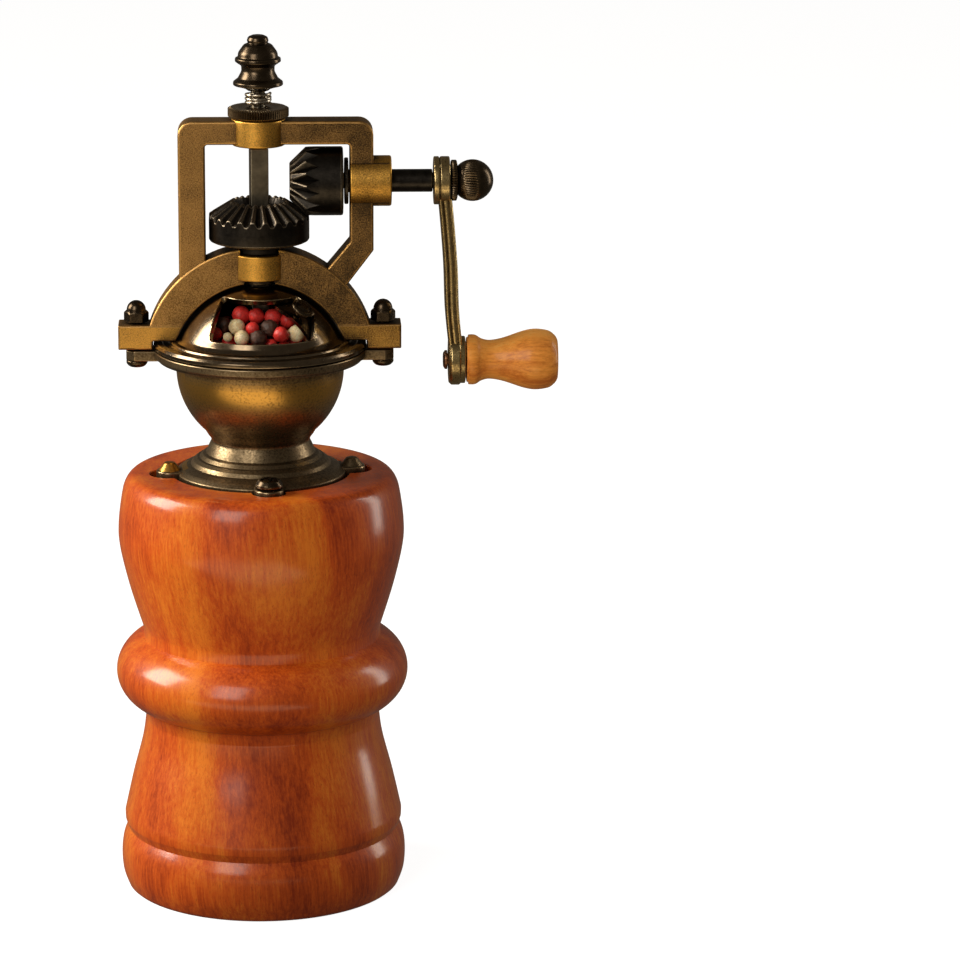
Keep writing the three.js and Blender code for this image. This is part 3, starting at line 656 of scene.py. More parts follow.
def hopper_bowl():
    outline = rounded([
        (16.4, FLANGE_BOTTOM, 0.3), (21.3, FLANGE_BOTTOM, 0.4), (21.3, 108.3, 0.5),
        (20.4, 109.0, 0.6), (19.9, 109.35, 0.3), (18.6, 109.9, 0.9), (17.6, 110.2, 0.3),
        (17.0, 111.2, 0.8), (16.0, 111.9, 0.5), (15.4, 111.95, 0.3), (14.6, 112.9, 0.7),
        (13.7, 113.2, 0.4), (13.0, 115.0, 1.2), (12.2, 116.6, 1.2), (13.4, 118.2, 1.0),
        *arc(0, HOPPER_Z + 0.4, 21, -48, 0, 20),
        (21, RIM_BOTTOM, 0.4), (25.6, RIM_BOTTOM, 0.3), (25.9, RIM_BOTTOM + 0.7, 0.2),
        (26.6, RIM_BOTTOM + 0.9, 0.3), (RIM_RADIUS, RIM_TOP, 0.35), (19, RIM_TOP, 0.3),
        *arc(0, HOPPER_Z, 19, 0, -57, 20),
        (10.2, 117.5, 0.5), (10.2, 107.8), (16.4, 107.8),
    ], closed=True)
    body = turned("bowl", outline, FINE_COLUMNS, closed=True)
    half = 3.6
    ear = [(0, -half), *arc(EAR_CIRCLE, 0, half, -90, 90, 16), (0, half)]
    ear = [(max(x, 17.2), y) for x, y in ear]
    for angle in EAR_ANGLES:
        join(body, turned_by(plate(ear, FLANGE_BOTTOM, FLANGE_TOP - 0.3, 0.45), angle))
    post = rounded([(0, FLANGE_BOTTOM), (3.2, FLANGE_BOTTOM), (3.35, 108.4, 0.4),
                    (1.3, 110.9, 0.9), (0, 111.1)])
    for angle in POST_ANGLES:
        join(body, moved(turned("post", post, 48), *polar(EAR_CIRCLE + 0.2, angle)))
    lug = rounded([(20, -4), (LUG_END - 2, -4, 0.8), (LUG_END, -2.4, 0.8),
                   (LUG_END, 2.4, 0.8), (LUG_END - 2, 4, 0.8), (20, 4)])
    for side in (0, 180):
        join(body, turned_by(plate(lug, RIM_BOTTOM, RIM_TOP - 0.05, 0.35), side))
    for angle in SCREW_ANGLES:
        ear_middle = polar(EAR_CIRCLE, angle)
        cut(body, bar(EAR_HOLE, FLANGE_BOTTOM - 1, FLANGE_TOP + 1, 24, *ear_middle))
        cut(body, bar(SCREW_SEAT, FLANGE_TOP, FLANGE_TOP + 4, 48, *ear_middle))
    for hole in bolt_holes(RIM_BOTTOM, RIM_TOP):
        cut(body, hole)
    finish(body, "hopper_bowl", BOWL_BRASS)

    def polish_and_sheen_at(x, y, z):
        # Painted highlight: only the left post is made bright brass, as the light from the left
        # falls on it.
        if z > FLANGE_TOP and x < -EAR_CIRCLE + 4 and math.hypot(x, y) > 19 and z < RIM_BOTTOM:
            return 1.0
        # Painted sheen: a belt of brighter brass round the bowl, darker towards the bottom and
        # towards the rim.
        lower = min(1.0, max(0.0, (z - SHEEN_BELT_BOTTOM) / SHEEN_BELT_RISE))
        upper = min(1.0, max(0.35, (RIM_BOTTOM + 0.5 - z) / 5))
        return lower * upper if z < RIM_BOTTOM + 0.01 and math.hypot(x, y) < 21.3 else 0.0

    mark_polish_and_sheen(body.data, polish_and_sheen_at)


# The window's sides seen from above, (x, y), each from its upper end to its lower one.
WINDOW_LEFT_SIDE = [(-9.2, -4.7), (-16, -25.1)]
WINDOW_RIGHT_SIDE = [(9.2, -4.7), (13.7, -7.5), (13.4, -14), (13, -25.1)]
WINDOW_LATITUDES = (28, 62)


def on_ball(radius, azimuth, latitude):
    """Point of a ball round the hopper's centre, angles in degrees."""
    flat, height = polar(radius, latitude)
    x, y = polar(flat, azimuth)
    return x, y, HOPPER_Z + height


def side_azimuth(side, reach):
    """Where a side of the window is at a distance from the axis, as an angle round it."""
    for start, end in zip(side, side[1:]):
        start, end = Vector(start), Vector(end)
        if start.length <= reach + 1e-6 and reach <= end.length:
            step = (end - start).normalized()
            ahead = start.dot(step)
            place = start + step * (math.sqrt(ahead ** 2 + reach ** 2 - start.length ** 2) - ahead)
            return math.degrees(math.atan2(place.y, place.x))
    first = side[0]
    return math.degrees(math.atan2(first[1], first[0]))


def window_loop(radius, grow):
    """The filling window's outline on a ball, grown by so many millimetres, round corners."""
    floor, roof = WINDOW_LATITUDES
    between = [floor + (roof - floor) * k / 6 for k in range(7)]

    def side(corners):
        return [(side_azimuth(corners, polar(DOME_RADIUS, b)[0]), b) for b in between]

    left, right = side(WINDOW_LEFT_SIDE), side(WINDOW_RIGHT_SIDE)
    low_edge = [(azimuth, floor) for azimuth in range(-124, -52, 4)]
    high_edge = [(azimuth, roof) for azimuth in range(-34, -146, -4)]
    corner = 3
    path = rounded([(*left[0], corner), *low_edge, (*right[0], corner), *right[1:-1],
                    (*right[-1], corner), *high_edge, (*left[-1], corner), *left[-2:0:-1]],
                   closed=True, steps=6)
    points = []
    for k, (azimuth, latitude) in enumerate(path):
        before, after = path[k - 1], path[(k + 1) % len(path)]
        squeeze = math.cos(math.radians(latitude))
        way = Vector(((after[0] - before[0]) * squeeze, after[1] - before[1])).normalized()
        out = math.degrees(grow / DOME_RADIUS)
        points.append(on_ball(radius, azimuth + out * way.y / squeeze, latitude - out * way.x))
    return points


def hopper_dome():
    ring_bottom = low("hopper_dome").z
    outline = rounded([
        (RIM_RADIUS, ring_bottom, 0.3), (RIM_RADIUS, ring_bottom + 1.0, 0.3),
        (RIM_RADIUS - 0.5, ring_bottom + 1.7, 0.3), (24.6, ring_bottom + 1.75, 0.4),
        (24.3, ring_bottom + 1.5, 0.2), (23.0, ring_bottom + 1.5, 0.4),
        (22.7, ring_bottom + 2.1, 0.3), (21.4, ring_bottom + 2.2, 0.5),
        *arc(0, HOPPER_Z, DOME_RADIUS, 23, 79.5, 40),
        (3.9, 156.15, 0.3),
        *arc(0, HOPPER_Z, DOME_INNER, 79, 16.5, 40),
    ], closed=True)
    dome = turned("dome", outline, FINE_COLUMNS, closed=True)
    steps = [(14, 0), (DOME_RADIUS - 0.16, 0), (DOME_RADIUS - 0.05, 0.05),
             (DOME_RADIUS + 0.02, 0.14), (46, 0.15)]
    loops = [window_loop(radius, grow) for radius, grow in steps]
    # Each end of the cutter closes in a fan, since a flat end would cross the curved sides.
    ends = [[on_ball(radius, -88, 34)] * len(loops[0]) for radius in (14, 46)]
    cut(dome, loft("window", [ends[0], *loops, ends[1]]))
    finish(dome, "hopper_dome", DOME_BRONZE)


KNOB_AZIMUTH = -43.7
KNOB_LATITUDE = 50
DOOR_OUTER = 20.25
DOOR_INNER = 19.35
DOOR_LEAD = 87.5                  # the open leaf's edge is the window's left side turned so far
DOOR_END = 68


def hopper_door():
    """Leaf and hub of one thin shell, laid out as cells of a polar grid."""
    latitudes = [24 + 2 * k for k in range(28)] + [79.5]
    leaf_columns, columns = 40, 112
    hub_row = latitudes.index(70)

    def azimuth(column, latitude):
        lead = DOOR_LEAD + side_azimuth(WINDOW_LEFT_SIDE, polar(DOOR_OUTER, latitude)[0])
        if column < leaf_columns:
            return lead + (DOOR_END - lead) * column / leaf_columns
        share = (column - leaf_columns) / (columns - leaf_columns)
        return DOOR_END + (360 + lead - DOOR_END) * share

    points, faces = [], []
    for radius in (DOOR_OUTER, DOOR_INNER):
        points += [on_ball(radius, azimuth(c, b), b) for c in range(columns) for b in latitudes]
    rows = len(latitudes)

    def shown(column, row):
        return 0 <= row < rows - 1 and (column % columns < leaf_columns or row >= hub_row)

    for column in range(columns):
        for row in range(rows - 1):
            if not shown(column, row):
                continue
            a, b = column * rows + row, (column + 1) % columns * rows + row
            inner = columns * rows
            faces += [(a, b, b + 1, a + 1), (a + inner, a + 1 + inner, b + 1 + inner, b + inner)]
            for seen, first, second in ((shown(column, row - 1), a, b),
                                        (shown(column, row + 1), b + 1, a + 1),
                                        (shown(column - 1, row), a + 1, a),
                                        (shown(column + 1, row), b, b + 1)):
                if not seen:
                    faces.append((first, first + inner, second + inner, second))
    door = mesh_object("door", points, faces)
    finish(door, "hopper_door", DOME_BRONZE)


def door_knob():
    stem_bottom, base = DOOR_OUTER + 0.3, DOME_RADIUS + 0.3
    place = (Matrix.Translation((AXIS_X, 0, HOPPER_Z))
             @ Matrix.Rotation(math.radians(KNOB_AZIMUTH), 4, "Z")
             @ Matrix.Rotation(math.radians(90 - KNOB_LATITUDE), 4, "Y"))
    turned_piece("door_knob", 64, [
        (0, stem_bottom), (1, stem_bottom, 0.2), (1, base), (2.8, base, 0.25),
        (2.8, base + 0.7, 0.25), (2.3, base + 1.15, 0.2), (1.9, base + 0.95, 0.3),
        (1.2, base + 1.3, 0.6), (0, base + 1.5),
    ], DARK_BRONZE, place)


# --- bracket

BRACKET_DEPTH = 7.6
ARCH_DEPTH = 8.1
FOOT_DEPTH = 8.2
FOOT_POLISH = 0.65
ARCH = (137.1, 29)                # height of the centre, radius
ARCH_INNER = (134.6, 22.35)
FOOT_BOTTOM = low("bracket").z
FOOT_TOP = FOOT_BOTTOM + 6.2
FOOT_END = high("bracket").x - AXIS_X
BRACKET_TOP = 197.7
BRACKET_LEFT, BRACKET_RIGHT = -20, 28.4
WINDOW_LEFT, WINDOW_RIGHT, WINDOW_TOP = -13.3, 22.5, 191.8
UPPER_BOSS = (191.3, 198)
LOWER_BOSS = (157.8, 164.2)
CRANK_BOSS = (22.5, 32.9)
BOSS_RADIUS = 6.7
CRANK_BOSS_RADIUS = 6.3
DOME_RING_CLEARANCE = (26.75, 142.35)


def circle_x(circle, z):
    height, radius = circle
    return math.sqrt(radius ** 2 - (z - height) ** 2)


def circle_run(circle, x0, x1, steps):
    """Points along the top of a circle between two sides, ends included."""
    height, radius = circle
    start, end = (math.degrees(math.acos(x / radius)) for x in (x0, x1))
    return arc(0, height, radius, start, end, steps)


def frame_outlines():
    """The frame round the gears and its opening; both run on inside the arch."""
    corner, hidden = 3.6, 2
    inner = (ARCH_INNER[0], ARCH_INNER[1] + hidden)
    outer = (ARCH[0], ARCH[1] - hidden)
    around = rounded([
        (BRACKET_LEFT, BRACKET_TOP, corner),
        (BRACKET_RIGHT, BRACKET_TOP, corner),
        (BRACKET_RIGHT, 165.1, 0.8),
        (20.9, 155.2),
        *circle_run(inner, 18, BRACKET_LEFT, 20),
    ], closed=True, steps=8)
    gear_window = rounded([
        *circle_run(outer, 15.6, WINDOW_LEFT, 18),
        (WINDOW_LEFT, WINDOW_TOP, 0.7),
        (WINDOW_RIGHT, WINDOW_TOP, 0.7),
        (WINDOW_RIGHT, 167.4, 0.8),
    ])
    return around, gear_window


def arch_outline():
    side = circle_x(ARCH, FOOT_BOTTOM)
    ring_x, ring_z = DOME_RING_CLEARANCE
    inner = circle_x(ARCH_INNER, ring_z)
    return rounded([
        *circle_run(ARCH, -side, side, 64),
        (ring_x, FOOT_BOTTOM),
        (ring_x, ring_z, 0.4),
        *circle_run(ARCH_INNER, inner, -inner, 48),
        (-ring_x, ring_z, 0.4),
        (-ring_x, FOOT_BOTTOM),
    ])


def boss(bottom, top, radius=BOSS_RADIUS, edge=0.45):
    return turned("boss", rounded([(0, bottom), (radius, bottom, edge), (radius, top, edge),
                                   (0, top)]), 72)


def bracket():
    body = upright(slab("bracket", frame_outlines(), BRACKET_DEPTH, 0.55))
    join(body, upright(slab("arch", [arch_outline()], ARCH_DEPTH, 0.5)))
    ring_x, ring_z = DOME_RING_CLEARANCE
    foot = rounded([
        (ring_x, FOOT_BOTTOM, 0.5), (FOOT_END, FOOT_BOTTOM, 0.3), (FOOT_END, FOOT_TOP, 0.3),
        (circle_x(ARCH_INNER, FOOT_TOP) + 0.05, FOOT_TOP),
        (circle_x(ARCH_INNER, ring_z) + 0.05, ring_z + 0.05), (ring_x, ring_z, 0.4),
    ], closed=True)
    for side in (0, 180):
        join(body, turned_by(upright(slab("foot", [foot], FOOT_DEPTH, 0.5)), side))
    crank_boss = turned_by(boss(*CRANK_BOSS, CRANK_BOSS_RADIUS, 0.5), 90, "Y")
    join(body, boss(*LOWER_BOSS), boss(*UPPER_BOSS), moved(crank_boss, z=CRANK_Z))
    cut(body, bar(6.3, LOWER_BOSS[1], 170, 72), bar(5.6, 150, LOWER_BOSS[0], 72),
        bar(3.5, 150, 170), bar(2.3, 190, 200),
        *bolt_holes(FOOT_BOTTOM, FOOT_TOP),
        moved(turned_by(bar(3.2, 15, 40), 90, "Y"), z=CRANK_Z))
    finish(body, "bracket", BRACKET_BRASS)

    def polish_and_sheen_at(x, y, z):
        upright_boss = math.hypot(x, y) < BOSS_RADIUS + 0.02 and z > LOWER_BOSS[0] - 0.1
        on_crank = math.hypot(y, z - CRANK_Z) < CRANK_BOSS_RADIUS + 0.02
        crank_boss = x > WINDOW_RIGHT and on_crank and (
            x > BRACKET_RIGHT + 0.1 or abs(y) > BRACKET_DEPTH / 2 + 0.02)
        foot_front = abs(x) > circle_x(ARCH, min(z, FOOT_TOP)) - 6 and z < FOOT_TOP - 0.3 and (
            y < -FOOT_DEPTH / 2 + 0.02)
        return 1.0 if upright_boss or crank_boss else FOOT_POLISH * foot_front

    mark_polish_and_sheen(body.data, polish_and_sheen_at)


# --- fasteners

NUT_FLATS = 5.5
CROSS_TURNS = (20, 110)           # how the arms of a screw's cross lie


def foot_bolts():
    for side, x in FOOT_SIDES.items():
        node = "foot_bolt_" + side
        bottom, top = heights(node)
        head_top = RIM_BOTTOM - 0.3
        bolt = turned("bolt", rounded([(0, bottom), (1.9, bottom, 1.2), (2.65, bottom + 0.9, 0.6),
                                       (2.65, head_top, 0.2), (1.5, head_top), (1.5, top, 0.3),
                                       (0, top)]), 48)
        finish(moved(bolt, x), node, DARK_BRONZE)


def hexagon_radius(angle, across_flats):
    """Radius of a hexagon at an angle, its corners a little rounded."""
    off_flat = angle % (math.pi / 3) - math.pi / 6
    return min(across_flats / 2 / math.cos(off_flat), across_flats * 0.566)


def acorn_nuts():
    for side, x in FOOT_SIDES.items():
        node = "acorn_nut_" + side
        bottom, top = heights(node)
        shoulder = bottom + 2.9
        cap = arc(0, top - 2.4, 2.4, 0, 90, 14)

        def outline(angle):
            hexagon = hexagon_radius(angle, NUT_FLATS)
            rise = 0.55 * (hexagon - NUT_FLATS / 2)
            return [(1.8, bottom), (hexagon - 0.25, bottom), (hexagon, bottom + 0.2),
                    (hexagon, shoulder - 0.45 - rise), (hexagon - 0.12, shoulder - 0.22 - rise),
                    (2.62, shoulder - 0.1), (2.42, shoulder - 0.02), *cap, (0, bottom + 3.2),
                    (1.8, bottom + 3.0)]

        nut = revolved("nut", outline, 96, closed=True)
        finish(moved(nut, x), node, DARK_BRONZE, sharp=25, wear=0.3)


def flange_screws():
    arm = [(-2.3, -0.65), (2.3, -0.65), (2.3, 0.65), (-2.3, 0.65)]
    narrow = [(0.45 * x, 0.6 * y) for x, y in arm]
    for place, angle in zip(("front", "back"), SCREW_ANGLES):
        node = "flange_screw_" + place
        bottom, top = heights(node)
        seat = top - 2.3
        screw = turned("screw", rounded([
            (0, bottom), (1.3, bottom + 4), (1.3, seat), (3.4, seat, 0.25),
            (3.4, seat + 0.8, 0.5), (2.6, top - 0.35, 0.9), (0, top)]), 64)
        for turn in CROSS_TURNS:
            tool = loft("cross", [[(x, y, z) for x, y in edge] for edge, z in
                                  ((narrow, top - 1.5), (arm, top - 0.4), (arm, top + 1))])
            cut(screw, turned_by(tool, turn))
        finish(moved(screw, *polar(EAR_CIRCLE, angle)), node, DARK_BRONZE)


# --- spindle line

SPINDLE_SIDE = 4.5
SPINDLE_TURN = 6
THREAD_RADIUS = 1.95


def threaded(name, bottom, top, radius, pitch, depth):
    """Rod with a screw thread cut in it."""
    per_turn = 8
    rows = int((top - bottom) / pitch * per_turn)

    def outline(angle):
        points = [(0, bottom)]
        for k in range(rows + 1):
            z = bottom + (top - bottom) * k / rows
            wave = (z / pitch + angle / (2 * math.pi)) % 1
            taper = min(1, 3 * k / rows, 0.6 + 6 * (1 - k / rows))
            points.append((radius - depth * (1 - abs(2 * wave - 1)) - 0.4 * (1 - taper), z))
        return [*points, (0, top)]

    return revolved(name, outline, 32)


def spindle():
    bottom, top = heights("spindle")
    square_top = 190.5
    half = SPINDLE_SIDE / 2
    square = rounded([(-half, -half, 0.3), (half, -half, 0.3), (half, half, 0.3),
                      (-half, half, 0.3)], closed=True)
    body = slab("spindle", [square], square_top - bottom, 0.2)
    turned_by(moved(body, z=(square_top + bottom) / 2), SPINDLE_TURN)
    rod = threaded("thread", square_top - 1.5, top, THREAD_RADIUS, pitch=0.75, depth=0.32)
    finish(join(body, rod), "spindle", SPINDLE_STEEL, sharp=50)


def spindle_bush():
    bottom, top = heights("spindle_bush")
    turned_piece("spindle_bush", 64, [
        (3.5, bottom, 0.1), (4.1, bottom, 0.2), (4.1, top, 0.2), (3.5, top, 0.1),
    ], DARK_BRONZE, closed=True)


def knurled(name, outline_at, count, per_ridge, closed=False):
    """Turned and ridged; outline_at(share) has share 0 in a groove and 1 on a ridge."""
    return revolved(name, lambda angle: outline_at((0.5 - 0.5 * math.cos(angle * count)) ** 0.7),
                    count * per_ridge, closed)


def adjusting_nut():
    bottom, top = heights("adjusting_nut")

    groove, ridge = 7.05, 0.53

    def outline(share):
        radius = groove + ridge * share
        return [(2.3, bottom), (6.9, bottom), (radius, bottom + 0.3), (radius, top - 0.35),
                (6.9, top), (5.2, top), (4.9, top - 0.12), (3.2, top - 0.12), (2.9, top),
                (2.3, top)]

    nut = knurled("nut", outline, 72, 4, closed=True)
    finish(nut, "adjusting_nut", KNURLED_BRONZE, sharp=30, wear=0.7)


def adjusting_spring():
    """Round wire along a helix that lies flatter at both ends."""
    turns, coil, wire, steps, sides = 3, 2.95, 0.4, 144, 12
    bottom, top = low("adjusting_spring").z + wire, high("adjusting_spring").z - wire
    loops = []
    for k in range(steps + 1):
        share = k / steps
        rise = share - 0.12 * math.sin(4 * math.pi * share) / 2
        angle = 2 * math.pi * turns * share
        radial = Vector((math.cos(angle), math.sin(angle), 0))
        centre = coil * radial + Vector((0, 0, bottom + (top - bottom) * rise))
        loops.append([centre + wire * (math.cos(a) * radial + math.sin(a) * Vector((0, 0, 1)))
                      for a in (2 * math.pi * side / sides for side in range(sides))])
    finish(loft("spring", loops), "adjusting_spring", SPRING_STEEL)


def finial_nut():
    base = low("finial_nut").z
    bore = THREAD_RADIUS + 0.35
    outline = rounded([
        (0, 213.4), (bore, 213.4), (bore, base, 0.1), (2.6, base, 0.2),
        (3.3, base + 0.5, 0.4), (4.8, base + 1.0, 0.4),
        (6.2, base + 1.35, 0.35), (6.15, base + 2.2, 0.35),
        (5.0, base + 3.1, 1.0), (4.1, base + 4.8, 1.6), (4.15, base + 6.2, 0.8),
        (5.0, base + 6.75, 0.3), (5.7, base + 7.25, 0.3), (5.65, base + 8.05, 0.3),
        (5.0, base + 8.4, 0.25), (4.85, base + 9.5, 1.8), (3.5, base + 11.4, 1.6),
        (2.45, base + 11.8, 0.25), (2.7, base + 12.4, 0.5), (2.4, base + 13.3, 0.7),
        (1.4, base + 13.75, 0.6), (0, base + 13.8),
    ], steps=5)
    finish(turned("finial", outline, 96), "finial_nut", DARK_BRONZE)


# --- bevel gears

GEAR_TEETH = 24
GEAR_ROOT = math.radians(37.3)    # below the crank's line, from the shared cone point
PINION_TEETH = 16
PINION_ROOT = math.radians(29.6)
PINION_RIDGE = math.radians(37)


def tooth_share(angle, teeth, flat):
    """0 at the bottom of a tooth gap, 1 along a tooth's crest."""
    off_gap = abs((angle * teeth / (2 * math.pi) + 0.5) % 1 - 0.5) * 2
    climb = min(1.0, max(0.0, (off_gap - flat) / (1 - 2 * flat)))
    return climb * climb * (3 - 2 * climb)


def drive_gear():
    base, inner_z = heights("drive_gear")
    rim, rim_z, inner, floor = 12.5, inner_z - 3.5, 6.9, inner_z - 2
    under = inner_z - 11.4
    rows = 12

    def outline(angle):
        share = tooth_share(angle, GEAR_TEETH, 0.16)
        face = []
        for k in range(rows + 1):
            r = rim - 0.12 + (inner - rim + 0.12) * k / rows
            crest = rim_z + (inner_z - rim_z) * (rim - r) / (rim - inner)
            root = CRANK_Z - r * math.tan(GEAR_ROOT)
            face.append((r, root + (crest - root) * share))
        first = face[0]
        return [(0, base), (5.6, base), (5.7, base + 0.1), (5.7, under), (5.9, under + 0.15),
                (7.4, under + 0.25), (11.8, under + 1.2), (12.3, under + 1.45), (rim, under + 1.8),
                (rim, under + 4.1), (rim, first[1] - 0.35), (rim - 0.02, first[1] - 0.12), *face,
                (6.5, face[-1][1] - 0.05), (6.2, inner_z - 0.45), (5.5, floor + 0.2),
                (5.2, floor), (0, floor)]

    gear = revolved("gear", outline, GEAR_TEETH * 16)
    half = SPINDLE_SIDE / 2 + 0.3
    hole = loft("hole", [[(x * half, y * half, z) for x, y in ((-1, -1), (1, -1), (1, 1), (-1, 1))]
                         for z in (160, 185)])
    cut(gear, turned_by(hole, SPINDLE_TURN))
    finish(gear, "drive_gear", BLACK_STEEL, sharp=42)


def pinion():
    start, end = along("pinion")
    nose, radius, cone_end = 4.57, 8.58, 11.6
    rows = 10

    def outline(angle):
        """The cone and cylinder are cut where a gap of the cone point's angle is lower."""
        half = math.pi / PINION_TEETH
        off = abs((angle + half) % (2 * half) - half) / half
        lean = PINION_ROOT + (PINION_RIDGE - PINION_ROOT) * (1 - off) ** 0.9
        slope = math.tan(lean)
        cone = (radius - nose) / (cone_end - start)
        meet = max(cone_end, radius / slope)
        points = [(2.3, start + 0.25), (min(nose, slope * start) - 0.12, start)]
        for k in range(rows + 1):
            x = start + 0.12 + (meet - start - 0.12) * k / rows
            points.append((min(slope * x, nose + cone * (x - start), radius), x))
        points += [(radius, meet + 0.12), (radius, 16.0), (radius, 18.0), (radius, end - 0.75),
                   (radius, end - 0.5)]
        return [*points, (radius - 0.15, end - 0.12), (radius - 0.5, end), (2.3, end)]

    gear = revolved("pinion", outline, PINION_TEETH * 20, closed=True)
    finish(gear, "pinion", BLACK_STEEL, CRANK_LINE, sharp=42)


# --- crank

SHAFT_RADIUS = 2.85
CRANK_THROW = CRANK_Z - HANDLE_Z


def crank_shaft():
    start, end = along("crank_shaft")
    shoulder_start, shoulder_end, neck = 21.2, 43.1, 1.95
    turned_piece("crank_shaft", 64, [
        (0, start), (neck - 0.5, start, 0.2), (neck, start + 0.8), (neck, shoulder_start),
        (SHAFT_RADIUS, shoulder_start, 0.2), (SHAFT_RADIUS, shoulder_end, 0.3),
        (neck, shoulder_end), (neck, end, 0.3), (0, end),
    ], BLACK_STEEL, CRANK_LINE)


def thrust_washer():
    start, end = along("thrust_washer")
    inner = SHAFT_RADIUS + 0.35
    turned_piece("thrust_washer", 72, [
        (inner, start, 0.1), (5.8, start, 0.3), (5.8, end, 0.3), (inner, end, 0.1),
    ], BLACK_STEEL, CRANK_LINE, closed=True)


def crank_arm():
    start, end = along("crank_arm")
    lean = smooth([(0, 45.5), (6, 46.4), (20.6, 47.6), (33.3, 48.1), (CRANK_THROW, 49.4)], 60)
    # One edge of the arm's section, (half width, half thickness): two beads and a middle rib.
    edge = smooth([(3.3, -1.7), (3.75, -1.5), (3.95, -1.15), (3.75, -0.78), (3.55, -0.62),
                   (3.8, -0.4), (4.0, 0.0), (3.9, 0.5), (3.6, 0.72), (3.75, 0.95),
                   (3.95, 1.25), (3.75, 1.55), (3.3, 1.7)], 36)
    section = [*edge, *[(-w, t) for w, t in reversed(edge)]]
    web = loft("arm", [[(down, width, out + rise) for width, rise in section]
                       for down, out in lean])
    eye = rounded([(0, start), (6.0, start, 0.3), (6.0, start + 1.25, 0.25),
                   (5.65, start + 1.45), (5.65, start + 1.55), (6.0, start + 1.75, 0.25),
                   (6.0, 47.4, 0.35), (0, 47.4)])
    handle_eye = rounded([(0, 47.2), (5.7, 47.2, 0.5), (6.35, 47.9, 0.5), (6.35, 49.9, 0.4),
                          (5.95, 50.2, 0.2), (5.95, end, 0.3), (0, end)])
    join(web, turned("eye", eye, 72), moved(turned("eye", handle_eye, 72), CRANK_THROW))
    seat = turned("seat", [(0, 47.45), (5.6, 47.45), (5.6, 55), (0, 55)], 60)
    cut(web, seat, bar(2.3, 40, 50, 44), bar(1.9, 40, 55, 44, CRANK_THROW))
    finish(web, "crank_arm", ARM_BRASS, CRANK_LINE)


def crank_nut():
    start, end = along("crank_nut")
    ball, ball_centre = 5.2, end - 5.2
    knurl_start, knurl_end, fade = 50.9, 54.4, 0.5

    def outline(share):
        groove = 0.3 * (1 - share)
        points = [(0, 53.4), (2.3, 53.4), (2.3, start), (4.8 - groove, start),
                  (5.1 - groove, start + 0.2), (5.1 - groove, start + 1.3),
                  (4.8 - groove, start + 1.5), (3.6, start + 1.75)]
        for k in range(33):
            latitude = math.radians(-42 + 132 * k / 32)
            x = ball_centre + ball * math.sin(latitude)
            band = min(1, max(0, (x - knurl_start) / fade), max(0, (knurl_end - x) / fade))
            points.append((max(0, ball * math.cos(latitude) - 0.8 * groove * band), x))
        return points

    nut = knurled("nut", outline, 48, 6)
    finish(nut, "crank_nut", DARK_BRONZE, CRANK_LINE, sharp=50, wear=0.35)


def handle_rivet():
    start, end = along("handle_rivet")
    turned_piece("handle_rivet", 48, [
        (0, start), (1.7, start + 0.05, 0.6), (2.4, start + 0.5, 0.3), (2.4, start + 1.1, 0.15),
        (1.6, start + 1.1), (1.6, end), (0, end),
    ], RIVET_COPPER, HANDLE_LINE)


def crank_handle():
    start, end = along("crank_handle")
    outline = [
        *rounded([(0, 70.4), (1.95, 70.4), (1.95, start), (5.8, start, 0.3)]),
        *smooth([(6.25, start + 0.5), (6.32, 53.2), (6.1, 54.2), (5.3, 55.5), (4.9, 57.6),
                 (5.5, 61), (7.1, 65.8), (7.65, 69), (7.2, 72.3), (6.1, 73.9)], 48),
        (5.5, end - 0.25), (4.9, end), (0, end),
    ]
    finish(turned("handle", outline, 96), "crank_handle", HANDLE_WOOD, HANDLE_LINE)


# --- peppercorns

# The corns that lie in the window: right of the axis, behind it (both in millimetres),
# height above the hopper's centre, radius, kind.
WINDOW_CORNS = [
    (-4.6, -4.4, 14.6, 2.45, "red"), (-0.9, -5.2, 14.5, 2.1, "red"),
    (3.2, -5.4, 14.2, 2.2, "red"), (6.9, -5.0, 13.3, 2.1, "red"),
    (-11.0, -7.0, 10.4, 1.75, "red"), (-1.8, -9.2, 12.1, 1.8, "red"),
    (5.2, -10.4, 10.9, 2.05, "red"), (-5.7, -8.0, 12.3, 2.1, "cream"),
    (-4.5, -11.6, 10.3, 1.95, "cream"), (-8.0, -10.4, 10.3, 1.2, "cream"),
    (9.1, -8.5, 10.7, 2.2, "cream"), (2.4, -8.6, 12.0, 2.3, "black"),
    (-0.4, -12.0, 10.2, 2.2, "black"), (-9.2, -5.2, 12.2, 2.3, "black"),
]
CORN_RADII = {"red": (1.8, 2.3), "cream": (1.8, 2.3), "black": (2.0, 2.4)}
HEAP_RADIUS = 19.0                # the corns stay inside this ball, clear of the door
SPINDLE_CLEARANCE = 3.5
CORN_COUNT = 120
HEAP_SEED = 7
FILL_SPREAD = 16                  # the fill starts this far either side of the axis
FILL_HEIGHTS = (3, 14)            # and between these heights above the hopper's centre
HEAP_FLOOR = 2.0
HEAP_PEAK, HEAP_SLOPE = 15.4, 0.36
SETTLING_PASSES = 160
SINKING = 0.01                    # how far a loose corn sinks in one pass


